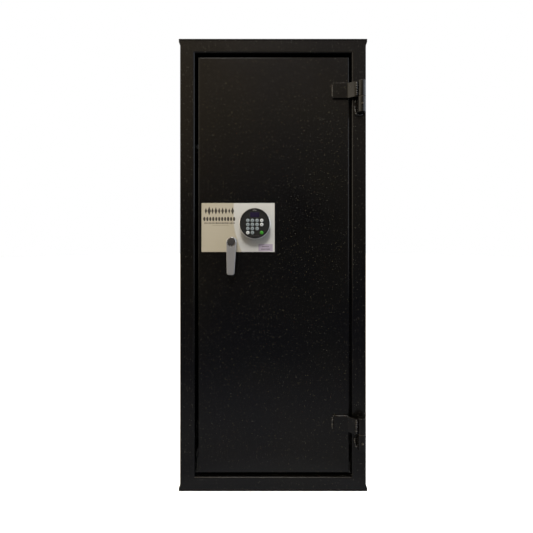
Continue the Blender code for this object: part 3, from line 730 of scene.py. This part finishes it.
def makeKeypadRings():
    rim = [(0.0466, 0.0363), (0.0504, 0.0363)] + arcPoints((0.0488, 0.0377), 0.0024, -30, 85, 10)
    rim += [(0.0466, 0.0400)]
    ring = turnedOut("keypad_rim_ring", rim, padX, padZ, 128, True)
    settle(ring, "rimSteel", "door", "bright_steel", "keypad_rim")
    bezel = [(0.0459, 0.0402), (0.0490, 0.0402)] + arcPoints((0.0469, 0.0425), 0.0025, 0, 90, 8)
    bezel += [(0.0454, 0.0450)] + arcPoints((0.0447, 0.0446), 0.0004, 90, 180, 3)
    bezel += [(0.0443, 0.0433), (0.0459, 0.0433)]
    ring = turnedOut("keypad_bezel_ring", bezel, padX, padZ + keypadShape["faceLift"], 128, True)
    settle(ring, "keypadBlack", "door", "keypad_black", "keypad_bezel")


def digitMesh(name, digit):
    text = bpy.data.curves.new(name, "FONT")
    text.body = digit
    text.size = keypadShape["legend"]
    text.align_x, text.align_y = "CENTER", "CENTER"
    text.extrude = keypadShape["legendDepth"]
    text.offset = 0.00009
    source = linked(name, text)
    mesh = plainMesh(source)
    bpy.data.objects.remove(source)
    return mesh


def legendMesh(name):
    # the mark on a key, in its own plane and centred
    mark = name[len("key_"):]
    if mark.isdigit():
        return digitMesh(name + "_mark", mark)
    half, depth = keypadShape["legend"] * 0.27, keypadShape["legendDepth"]
    if mark in ("up", "down"):
        tip = half if mark == "up" else -half
        loops = [[(-half, -tip * 0.6), (half, -tip * 0.6), (0, tip)]]
    elif mark == "clear":
        loops = []
        for turn in (45, 135):
            arm = Matrix.Rotation(math.radians(turn), 2)
            corners = ((-half, -0.0004), (half, -0.0004), (half, 0.0004), (-half, 0.0004))
            loops.append([tuple(arm @ Vector(corner)) for corner in corners])
    else:
        loops = [arcPoints((0, 0), half * 0.75, 0, 360, 24)[:-1]]
    shape = bmesh.new()
    for loop in loops:
        shape.from_mesh(plateMesh(name, loop, depth, -depth))
    turn = Matrix.Rotation(-math.pi / 2, 3, "X")
    bmesh.ops.rotate(shape, cent=(0, 0, 0), matrix=turn, verts=shape.verts)
    return meshOf(shape, name + "_mark")


def makeKeys():
    size = keypadShape
    stem, flange, top, crown = size["keyRadius"], size["keyFlange"], size["keyTop"], size["keyCrown"]
    looks = {"key_enter": ("greenRubber", "enter_key"), "key_clear": ("whiteRubber", "function_key"),
             "key_up": ("whiteRubber", "function_key"), "key_down": ("whiteRubber", "function_key")}
    profile = [(0, 0.0387), (flange, 0.0387), (flange, 0.0401), (stem, 0.0401)]
    profile += [(stem - crown + x, top - 0.0015 + z) for x, z in arcPoints((0, 0), crown, 0, 60, 4)]
    profile += [(stem * 0.55, top - 0.00018), (0.0, top)]
    stand = Matrix.Rotation(math.pi / 2, 4, "X")
    for name in nodes:
        if not name.startswith("key_"):
            continue
        finish, slot = looks.get(name, ("digitRubber", "digit_key"))
        middle = middleOf(name)
        key = turnedOut(name + "_cap", profile, middle.x, middle.z, 36)
        mark = legendMesh(name)
        mark.transform(Matrix.Translation((middle.x, proud(top - 0.00001), middle.z)) @ stand)
        shape = bmesh.new()
        shape.from_mesh(key.data)
        count = len(shape.faces)
        shape.from_mesh(mark)
        shape.faces.ensure_lookup_table()
        for face in shape.faces[count:]:
            face.material_index = 1
        shape.to_mesh(key.data)
        shape.free()
        key.data.materials.append(finishes[finish])
        key.data.materials.append(finishes["inkDark"])
        settle(key, None, name, slot, name)


keypadTrim = {
    "back": 0.0425,
    "badge": (0.0070, 0.0016, 0.0015),     # half width, half height, corner
    "badgeHeight": 0.0432,
    "badgeFront": 0.0454,
    "latch": ((-0.0130, -0.0385), (-0.0105, -0.0452), (0.0105, -0.0452), (0.0130, -0.0385)),
    "latchFront": 0.0456,
}


def makeKeypadTrim():
    size = keypadTrim
    pill = roundedBox(*size["badge"], (padX, padZ + size["badgeHeight"]))
    mesh = plateMesh("keypad_badge", pill, proud(size["back"]), proud(size["badgeFront"]), 0.0005)
    settle(rounded(linked("keypad_badge", mesh), 0.0), "brightSteel", "door", "bright_steel")
    grip = [(padX + x, padZ + z) for x, z in size["latch"]]
    mesh = plateMesh("keypad_latch_pad", grip, proud(size["back"]), proud(size["latchFront"]), 0.0009)
    settle(rounded(linked("keypad_latch_pad", mesh), 0.0), "keypadBlack", "door", "keypad_black")


makeKeypadFace()
makeKeypadRings()
makeKeys()
makeKeypadTrim()
print("keypad made")


# Geometry Nodes: each tree has named inputs and is run once on its guide mesh

def newTree(name, inputs):
    tree = bpy.data.node_groups.new(name, "GeometryNodeTree")
    tree.interface.new_socket("Guide", in_out="INPUT", socket_type="NodeSocketGeometry")
    for label, (kind, value) in inputs.items():
        socket = tree.interface.new_socket(label, in_out="INPUT", socket_type="NodeSocket" + kind)
        socket.default_value = value
    tree.interface.new_socket("Material", in_out="INPUT", socket_type="NodeSocketMaterial")
    tree.interface.new_socket("Result", in_out="OUTPUT", socket_type="NodeSocketGeometry")
    return tree, tree.nodes.new("NodeGroupInput").outputs


def endTree(tree, geometry, material):
    real = outOf(tree, "GeometryNodeRealizeInstances", {"Geometry": geometry})
    dressed = outOf(tree, "GeometryNodeSetMaterial", {"Geometry": real, "Material": material})
    tree.links.new(dressed, tree.nodes.new("NodeGroupOutput").inputs[0])
    return tree


def grown(name, tree, guide, finish, values):
    # the tree's result on a guide mesh, kept as a plain mesh
    piece = linked(name, guide)
    modifier = piece.modifiers.new(tree.name, "NODES")
    modifier.node_group = tree
    values = {**values, "Material": finishes[finish]}
    for item in tree.interface.items_tree:
        if item.in_out == "INPUT" and item.name in values:
            modifier[item.identifier] = values[item.name]
    return flattened(piece)


def lineMesh(name, paths):
    # one open run of edges for each path
    verts, edges = [], []
    for path in paths:
        first = len(verts)
        verts += [tuple(point) for point in path]
        edges += [(first + i, first + i + 1) for i in range(len(path) - 1)]
    mesh = bpy.data.meshes.new(name)
    mesh.from_pydata(verts, edges, [])
    return mesh


def evenly(first, last, count):
    return [first + (last - first) * i / (count - 1) for i in range(count)]


def weldTree():
    # a rippled and lumpy bead with rounded ends along each run of the guide
    tree, start = newTree("weldBead", {
        "Radius": ("Float", 0.0024), "Ripple Length": ("Float", 0.0030), "Ripple Depth": ("Float", 0.22),
        "Lumps": ("Float", 0.35), "Wander": ("Float", 0.0005), "Seed": ("Float", 0.0)})
    curve = outOf(tree, "GeometryNodeMeshToCurve", {"Mesh": start["Guide"]})
    step = times(tree, start["Ripple Length"], 0.2)
    fine = outOf(tree, "GeometryNodeResampleCurve", {"Curve": curve, "Length": step}, mode="LENGTH")
    noise = addNode(tree, "ShaderNodeTexNoise", {
        "Vector": outOf(tree, "GeometryNodeInputPosition"), "W": start["Seed"], "Scale": 190.0,
        "Detail": 2.0}, noise_dimensions="4D").outputs
    centred = outOf(tree, "ShaderNodeVectorMath", {0: noise["Color"], 1: (0.5, 0.5, 0.5)},
                    operation="SUBTRACT")
    offset = outOf(tree, "ShaderNodeVectorMath", {0: centred, "Scale": start["Wander"]}, operation="SCALE")
    moved = outOf(tree, "GeometryNodeSetPosition", {"Geometry": fine, "Offset": offset})
    along = addNode(tree, "GeometryNodeSplineParameter").outputs
    ripples = mathNode(tree, "DIVIDE", along["Length"], start["Ripple Length"])
    wave = mathNode(tree, "SINE", times(tree, ripples, math.pi))
    dip = mathNode(tree, "SUBTRACT", mathNode(tree, "ABSOLUTE", wave), 1.0)
    rippled = mathNode(tree, "MULTIPLY_ADD", dip, start["Ripple Depth"], 1.0)
    uneven = mathNode(tree, "SUBTRACT", noise["Fac"], 0.5)
    lump = mathNode(tree, "MULTIPLY_ADD", uneven, start["Lumps"], rippled)
    fromMiddle = mathNode(tree, "ABSOLUTE", mathNode(tree, "MULTIPLY_ADD", along["Factor"], 2.0, -1.0))
    taper = mathNode(tree, "SUBTRACT", 1.02, mathNode(tree, "POWER", fromMiddle, 6.0))
    shape = times(tree, lump, mathNode(tree, "SQRT", taper))
    radius = times(tree, shape, start["Radius"])
    section = outOf(tree, "GeometryNodeCurvePrimitiveCircle", {"Resolution": 10, "Radius": 1.0})
    bead = outOf(tree, "GeometryNodeCurveToMesh", {
        "Curve": moved, "Profile Curve": section, "Scale": radius, "Fill Caps": True})
    return endTree(tree, outOf(tree, "GeometryNodeSetShadeSmooth", {"Geometry": bead}), start["Material"])


def screwTree():
    # a pan head with a cross slot on each point, turned by a random angle
    tree, start = newTree("panHeadScrews", {
        "Radius": ("Float", 0.0038), "Height": ("Float", 0.0019), "Slot": ("Float", 0.0009),
        "Facing": ("Vector", (0.0, 0.0, 1.0)), "Seed": ("Int", 3)})
    height, slot = start["Height"], start["Slot"]
    head = outOf(tree, "GeometryNodeMeshCylinder", {
        "Vertices": 24, "Radius": start["Radius"], "Depth": height})
    reach = times(tree, start["Radius"], 1.15)
    cross = addNode(tree, "GeometryNodeMeshBoolean", operation="UNION")
    for x, y in ((reach, slot), (slot, reach)):
        bar = outOf(tree, "GeometryNodeMeshCube", {"Size": vectorNode(tree, X=x, Y=y, Z=height)})
        tree.links.new(bar, cross.inputs["Mesh 2"])
    lift = vectorNode(tree, Z=times(tree, height, 0.5))
    raised = outOf(tree, "GeometryNodeTransform", {"Geometry": cross.outputs["Mesh"], "Translation": lift})
    cut = outOf(tree, "GeometryNodeMeshBoolean", {"Mesh 1": head, "Mesh 2": raised}, operation="DIFFERENCE")
    facing = outOf(tree, "FunctionNodeAlignRotationToVector", {"Vector": start["Facing"]}, axis="Z")
    random = addNode(tree, "FunctionNodeRandomValue", {2: 0.0, 3: 1.57, "Seed": start["Seed"]})
    twist = outOf(tree, "FunctionNodeEulerToRotation", {"Euler": vectorNode(tree, Z=random.outputs[1])})
    rotation = outOf(tree, "FunctionNodeRotateRotation", {"Rotation": facing, "Rotate By": twist},
                     rotation_space="LOCAL")
    placed = outOf(tree, "GeometryNodeInstanceOnPoints", {
        "Points": start["Guide"], "Instance": cut, "Rotation": rotation})
    return endTree(tree, placed, start["Material"])


def etchTree():
    # a row of small flat marks: sides 4 gives lozenges, more sides give dots
    tree, start = newTree("etchedRow", {
        "Sides": ("Int", 4), "Turn": ("Float", 0.0), "Width": ("Float", 0.004), "Height": ("Float", 0.006),
        "Thickness": ("Float", 0.0001), "Vary": ("Float", 0.3), "Seed": ("Int", 5)})
    mark = outOf(tree, "GeometryNodeMeshCylinder", {
        "Vertices": start["Sides"], "Radius": 0.5, "Depth": start["Thickness"]})
    flat = outOf(tree, "GeometryNodeTransform", {
        "Geometry": mark, "Rotation": vectorNode(tree, Z=start["Turn"])})
    stood = outOf(tree, "GeometryNodeTransform", {"Geometry": flat, "Rotation": (math.pi / 2, 0.0, 0.0)})
    low = mathNode(tree, "SUBTRACT", 1.0, start["Vary"])
    random = addNode(tree, "FunctionNodeRandomValue", {2: low, 3: 1.0, "Seed": start["Seed"]})
    vary = random.outputs[1]
    width, height = times(tree, start["Width"], vary), times(tree, start["Height"], vary)
    placed = outOf(tree, "GeometryNodeInstanceOnPoints", {
        "Points": start["Guide"], "Instance": stood, "Scale": vectorNode(tree, X=width, Y=1.0, Z=height)})
    return endTree(tree, placed, start["Material"])


weldBead, panHeadScrews, etchedRow = weldTree(), screwTree(), etchTree()


# Weld beads

weldLook = {
    "hinge": 0.0046,
    "plate": 0.0019,
    "stitch": 0.0022,
    "stitchLength": 0.045,
    "stitches": 7,
    "lift": 0.0008,           # how far a bead's middle stands off the face it is laid on
}


def hingeWelds(level):
    # the runs on the strap, the barrel and the foot, each with its share of the bead's radius
    strapLow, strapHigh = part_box("hinge_strap_" + level)
    baseLow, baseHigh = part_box("hinge_base_" + level)
    pin = middleOf("hinge_pin_" + level)
    door, face = doorY - weldLook["lift"], frontY - weldLook["lift"]
    left, top, bottom = strapLow.x, strapHigh.z, strapLow.z
    side = left - 0.0020
    strap = [[(side, door, bottom + 0.004), (side, door, top - 0.004)],
             [(side + 0.001, door, top - 0.002), (left + 0.004, door, top + 0.0008)]]
    strapTop = [[(left + x, door - 0.002, top + 0.0004) for x in (0.006, 0.047)]]
    # separate drops of metal, three along the strap's top edge and one at its lower corner
    drops = [[(x - 0.0012, door - 0.0045, top + z), (x + 0.0016, door - 0.005, top + z + 0.0004)]
             for x, z in ((left + 0.0005, 0.0002), (left + 0.0365, 0.0004), (left + 0.0475, -0.0006))]
    drops.append([(left - 0.0010, door - 0.002, bottom + 0.0034),
                  (left + 0.0010, door - 0.003, bottom + 0.001)])
    endX, endY = baseLow.x - 0.0048, pin.y - 0.0055
    barrel = [[(endX, endY, bottom + 0.002), (endX, endY, top - 0.0015)]]
    # down the foot's left side and under it, a drop beside it, and its right side
    footLeft, footRight, low, seam = baseLow.x - 0.0036, baseHigh.x, baseLow.z, baseHigh.z
    foot = [[(footLeft + 0.0012, face, seam - 0.003), (footLeft + 0.0002, face, seam - 0.013)],
            [(footLeft - 0.001, face, seam - 0.021), (footLeft - 0.0016, face, seam - 0.031),
             (footLeft, face, low + 0.007), (footLeft + 0.0032, face, low - 0.0026),
             (pin.x - 0.004, face, low - 0.0042), (footRight - 0.004, face, low - 0.0030)],
            [(footLeft - 0.0078, face, seam - 0.0235), (footLeft - 0.0066, face, seam - 0.027)],
            [(footRight, face, seam - 0.006), (footRight, face, low + 0.004)]]
    return (("strap", "door", ((strap, 1.0), (strapTop, 0.62), (drops, 0.66))),
            ("barrel", "door", ((barrel, 0.94),)),
            ("foot", "cabinet", ((foot, 0.92),)))


def makeHingeWelds():
    for seed, level in enumerate(("lower", "upper")):
        for part, body, runs in hingeWelds(level):
            beads = []
            for i, (paths, size) in enumerate(runs):
                radius = weldLook["hinge"] * size
                name = "%s_weld_%s_%d" % (part, level, i)
                beads.append(grown(name, weldBead, lineMesh(name, paths), "paintedWeld", {
                    "Radius": radius, "Ripple Length": radius * 1.6, "Ripple Depth": 0.42, "Lumps": 1.5,
                    "Wander": radius * 0.8, "Seed": 3.0 + seed * 5 + i}))
            settle(joined("%s_weld_%s" % (part, level), beads), "paintedWeld", body, "paint")


def makePlateWelds():
    # along both sides, under the top plate and over the bottom plate
    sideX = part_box("right_side")[1].x + weldLook["lift"]
    topLow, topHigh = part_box("top_plate")
    inset, reach = 0.004, 0.0228
    paths = [[(x, topLow.y + inset, level), (x, topHigh.y - inset, level)]
             for level in (topHigh.z - reach, reach) for x in (-sideX, sideX)]
    piece = grown("plate_welds", weldBead, lineMesh("plate_welds", paths), "paintedWeld", {
        "Radius": weldLook["plate"], "Ripple Length": 0.0034, "Ripple Depth": 0.20, "Lumps": 0.35,
        "Wander": 0.0007, "Seed": 9.0})
    settle(piece, None, "cabinet", "paint")


def makeDeadBarWelds():
    low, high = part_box("dead_bar")
    length, inset = weldLook["stitchLength"], 0.003
    x, y = low.x + 0.0002, high.y + 0.0006
    paths = []
    for start in evenly(low.z, high.z - length, weldLook["stitches"]):
        paths.append([(x, y, max(start, low.z + inset)), (x, y, min(start + length, high.z - inset))])
    piece = grown("dead_bar_welds", weldBead, lineMesh("dead_bar_welds", paths), "paintedWeld", {
        "Radius": weldLook["stitch"], "Ripple Length": 0.0028, "Ripple Depth": 0.25, "Lumps": 0.4,
        "Wander": 0.0008, "Seed": 12.0})
    settle(piece, None, "door", "paint")


makeHingeWelds()
makePlateWelds()
makeDeadBarWelds()
print("weld beads laid")


# Etched ornament and paper label on the plate

ornament = {
    # name: (left, right, middle z, count, sides, turn, width, height, vary)
    "ornament_lozenges": (-0.226, -0.136, 0.9440, 9, 4, 0.0, 0.0120, 0.0290, 0.60),
    "ornament_beads": (-0.231, -0.131, 0.9170, 11, 6, 0.0, 0.0086, 0.0165, 0.10),
    "ornament_dots": (-0.229, -0.131, 0.9030, 24, 6, 0.0, 0.0034, 0.0074, 0.35),
}
plateLabel = {
    "left": -0.0490,
    "right": -0.0010,
    "low": 0.8085,
    "high": 0.8325,
    # name: (height above the middle, count, width)
    "barHeight": 0.0042,
    "bars": {"label_bars_1": (0.0038, 5, 0.0036), "label_bars_2": (-0.0050, 8, 0.0032)},
}
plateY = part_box("escutcheon_plate")[0].y


def makeRow(name, xs, y, z, values):
    guide = lineMesh(name, [[(x, y, z) for x in xs]])
    settle(grown(name, etchedRow, guide, "etchedInk", values), None, "door", "stainless")


def makeOrnament():
    for seed, (name, row) in enumerate(ornament.items()):
        left, right, level, count, sides, turn, width, height, vary = row
        makeRow(name, evenly(left, right, count), plateY - 0.00002, level, {
            "Sides": sides, "Turn": turn, "Width": width, "Height": height, "Thickness": 0.00012,
            "Vary": vary, "Seed": 5 + seed})
    hairline = roundedBox(0.0275, 0.00028, 0.00025, (-0.177, 0.8955), 2)
    mesh = plateMesh("ornament_hairline", hairline, plateY + 0.0001, plateY - 0.00008)
    settle(linked("ornament_hairline", mesh), "etchedInk", "door", "stainless")


def makeLabel():
    size = plateLabel
    x, z = (size["left"] + size["right"]) / 2, (size["low"] + size["high"]) / 2
    half = ((size["right"] - size["left"]) / 2, (size["high"] - size["low"]) / 2)
    mesh = plateMesh("paper_label", roundedBox(*half, 0.0010, (x, z)), plateY + 0.0001, plateY - 0.00018)
    settle(linked("paper_label", mesh), "labelPaper", "door", "stainless")
    for row, (name, (lift, count, width)) in enumerate(size["bars"].items()):
        reach = (count - 1) * width * 0.62
        makeRow(name, evenly(x - reach, x + reach, count), plateY - 0.0002, z + lift, {
            "Sides": 4, "Turn": math.pi / 4, "Width": width * 1.4, "Height": size["barHeight"],
            "Thickness": 0.00008, "Vary": 0.25, "Seed": 21 + row})


makeOrnament()
makeLabel()
print("plate marked")


# Screws in the inner cover, and brackets under the shelf

coverScrews = {
    "inset": 0.016,
    "across": 3,
    "up": 6,
    "radius": 0.0040,
    "height": 0.0020,
}
shelfBracket = {
    "leg": 0.030,
    "width": 0.025,
    "thick": 0.0025,
    "inset": 0.060,
    "gap": 0.0002,
    "edge": 0.0004,
}


def screwsAt(name, places, body, slot, values):
    points = bpy.data.meshes.new(name)
    points.from_pydata(places, [], [])
    settle(grown(name, panHeadScrews, points, "zincPlate", values), None, body, slot)


def makeCoverScrews():
    low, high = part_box("door_cover")
    inset, height = coverScrews["inset"], coverScrews["height"]
    xs = evenly(low.x + inset, high.x - inset, coverScrews["across"])
    zs = evenly(low.z + inset, high.z - inset, coverScrews["up"])
    places = [(x, high.y + height * 0.4, z) for x in xs for z in zs
              if x in (xs[0], xs[-1]) or z in (zs[0], zs[-1])]
    screwsAt("cover_screws", places, "door", "steel", {
        "Radius": coverScrews["radius"], "Height": height, "Facing": (0.0, 1.0, 0.0)})


def makeShelfBrackets():
    size = shelfBracket
    leg, thick, width, gap = size["leg"], size["thick"], size["width"], size["gap"]
    low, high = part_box("shelf")
    shape = bmesh.new()
    screws = {-1: [], 1: []}
    for side in screws:
        wallX = high.x if side > 0 else low.x
        for y in (low.y + size["inset"], high.y - size["inset"]):
            # one leg down the wall and one under the shelf: distance from the wall, then height
            for near, far, foot in ((gap, thick, -leg), (thick, leg, -thick)):
                box = bmesh.ops.create_cube(shape, size=1.0)["verts"]
                bmesh.ops.scale(shape, vec=(far - near, width, -gap - foot), verts=box)
                middle = (wallX - side * (near + far) / 2, y, low.z + (foot - gap) / 2)
                bmesh.ops.translate(shape, vec=middle, verts=box)
            screws[side].append((wallX - side * (thick + 0.0006), y, low.z - leg * 0.62))
    brackets = rounded(linked("shelf_brackets", meshOf(shape, "shelf_brackets")), size["edge"])
    settle(brackets, "zincPlate", "cabinet", "zinc_plate")
    for side, name in ((-1, "left_bracket_screws"), (1, "right_bracket_screws")):
        screwsAt(name, screws[side], "cabinet", "zinc_plate", {"Facing": (-float(side), 0.0, 0.0)})


makeCoverScrews()
makeShelfBrackets()
print("screws and brackets placed")


# Studio: a pale floor, soft light from above and a plain surround

studio = {
    "floorRadius": 12.0,
    "floor": (0.80, 0.80, 0.80),
    "floorPatches": 0.985,
    "floorGlow": 0.55,
    # painted pool of light: the floor's colour in reflections and bounce light, by distance from the middle
    # (1 is 2 m), darker further out
    "floorLightPool": ((0.20, 0.38), (0.25, 0.23), (0.36, 0.25), (0.85, 0.055)),
    "floorTint": (0.92, 1.0, 1.16),
    "warmSide": (0.70, 0.61, 0.42),
    "coolSide": (0.90, 0.88, 0.82),
    "divide": -0.092,
    "divideHalf": 0.012,
    # brightness by height (0 straight down, 0.5 level, 1 straight up) and by side (0 left, 1 right)
    "levels": ((0.0, 0.30), (0.36, 0.26), (0.42, 0.08), (0.515, 0.05), (0.56, 0.26), (0.62, 0.44),
               (0.74, 0.56), (0.90, 1.0)),
    "upperTint": (1.0, 0.88, 0.76),
    "lowerTint": (0.84, 0.94, 1.18),
    "upperFrom": 0.54,
    "sides": ((0.0, 1.0), (0.16, 0.9), (0.32, 0.64), (0.40, 0.48), (0.44, 0.34), (0.52, 0.26),
              (0.60, 0.19), (0.75, 0.35), (1.0, 1.0)),
    "sideGain": 3.0,
    "farLeft": (1.45, 1.28, 1.0),     # light from well off to the sides, at any height
    "farRight": (1.40, 1.50, 1.66),
    "farFrom": 0.34,
    "farFull": 0.70,
}
studioLights = {
    # name: (place, height it points at, size, power, color, whether it shows in the paint)
    "topSoftbox": ((-0.15, -2.0, 3.4), 0.85, (1.4, 0.8), 24.0, (1.0, 0.99, 0.97), True),
    "keyLight": ((-0.10, -2.9, 2.80), 0.85, (0.7, 0.5), 76.0, (1.0, 0.97, 0.92), False),
    "leftFill": ((-2.6, -1.2, 1.3), 0.80, (1.2, 1.8), 5.0, (1.0, 0.94, 0.85), True),
    "rightFill": ((2.6, -1.0, 1.4), 0.80, (1.0, 1.8), 5.0, (0.93, 0.96, 1.0), True),
}
cameraView = {
    "distance": 1.45,
    "height": 0.897,
    "lens": 29.08,
    "sensor": 36.0,
    "shift": (-0.0122, -0.078),
}


def makeFloor():
    bpy.ops.mesh.primitive_circle_add(vertices=96, radius=studio["floorRadius"], fill_type="NGON",
                                      location=(0, 0, 0))
    floor = bpy.context.object
    floor.name = "floor"
    material, tree, shader, coords = newMaterial("paleFloor", {
        "Roughness": 0.9, "Specular IOR Level": 0.1, "Emission Color": (1.0, 1.0, 1.0)})
    light = studio["floor"]
    dim = tuple(c * studio["floorPatches"] for c in light)
    shade = rampNode(tree, noiseNode(tree, coords, 1.5), [(0.3, dim), (0.7, light)])
    reach = addNode(tree, "ShaderNodeVectorMath", {0: coords}, operation="LENGTH").outputs["Value"]
    # painted pool of light: the floor's colour seen in reflections falls off with distance
    lit = rampNode(tree, rangeNode(tree, reach, 0.0, 1.0, 0.0, 2.0), [
        (place, tuple(share * c for c in studio["floorTint"])) for place, share in studio["floorLightPool"]])
    share, seen = whiteWhenSeen(tree, lit)
    feed(shader, {"Base Color": timesColor(tree, shade, share),
                  "Emission Strength": times(tree, seen, studio["floorGlow"])})
    floor.data.materials.append(material)


def makeWorld():
    world = bpy.data.worlds.new("studio")
    bpy.context.scene.world = world
    world.use_nodes = True
    tree = world.node_tree
    direction = addNode(tree, "ShaderNodeTexCoord").outputs["Generated"]
    parts = addNode(tree, "ShaderNodeSeparateXYZ", {"Vector": direction}).outputs
    divide, half = studio["divide"], studio["divideHalf"]
    side = rangeNode(tree, parts["X"], 0.0, 1.0, divide - half, divide + half)
    color = mixColor(tree, side, studio["warmSide"], studio["coolSide"])
    levels = []
    for place, level in studio["levels"]:
        tint = studio["upperTint" if place > studio["upperFrom"] else "lowerTint"]
        levels.append((place, tuple(level * c for c in tint)))
    height = rampNode(tree, rangeNode(tree, parts["Z"], 0.0, 1.0, -1.0, 1.0), levels)
    across = rampNode(tree, rangeNode(tree, parts["X"], 0.0, 1.0, -1.0, 1.0),
                      [(place, (level,) * 3) for place, level in studio["sides"]])
    gained = outOf(tree, "ShaderNodeVectorMath", {0: across, "Scale": studio["sideGain"]},
                   operation="SCALE")
    shaded = timesColor(tree, timesColor(tree, color, height), gained)
    fromMiddle = mathNode(tree, "ABSOLUTE", parts["X"])
    far = rangeNode(tree, fromMiddle, 0.0, 1.0, studio["farFrom"], studio["farFull"])
    farLight = mixColor(tree, side, studio["farLeft"], studio["farRight"])
    surround, _ = whiteWhenSeen(tree, mixColor(tree, far, shaded, farLight))
    feed(tree.nodes["Background"], {"Color": surround})


def makeLights():
    for name, (place, aim, size, power, color, mirrored) in studioLights.items():
        lamp = bpy.data.lights.new(name, "AREA")
        lamp.shape = "RECTANGLE"
        lamp.size, lamp.size_y = size
        lamp.energy = power
        lamp.color = color
        light = linked(name, lamp)
        light.location = place
        light.visible_glossy = mirrored
        look = Vector((0.0, 0.0, aim)) - Vector(place)
        light.rotation_euler = look.to_track_quat("-Z", "Y").to_euler()


def makeCamera():
    data = bpy.data.cameras.new("camera")
    data.lens = cameraView["lens"]
    data.sensor_width = cameraView["sensor"]
    data.shift_x, data.shift_y = cameraView["shift"]
    camera = linked("camera", data)
    camera.location = (0.0, frontY - cameraView["distance"], cameraView["height"])
    camera.rotation_euler = (math.pi / 2, 0.0, 0.0)
    bpy.context.scene.camera = camera


bpy.context.scene.view_settings.view_transform = "Standard"
makeFloor()
makeWorld()
makeLights()
makeCamera()
print("studio set")
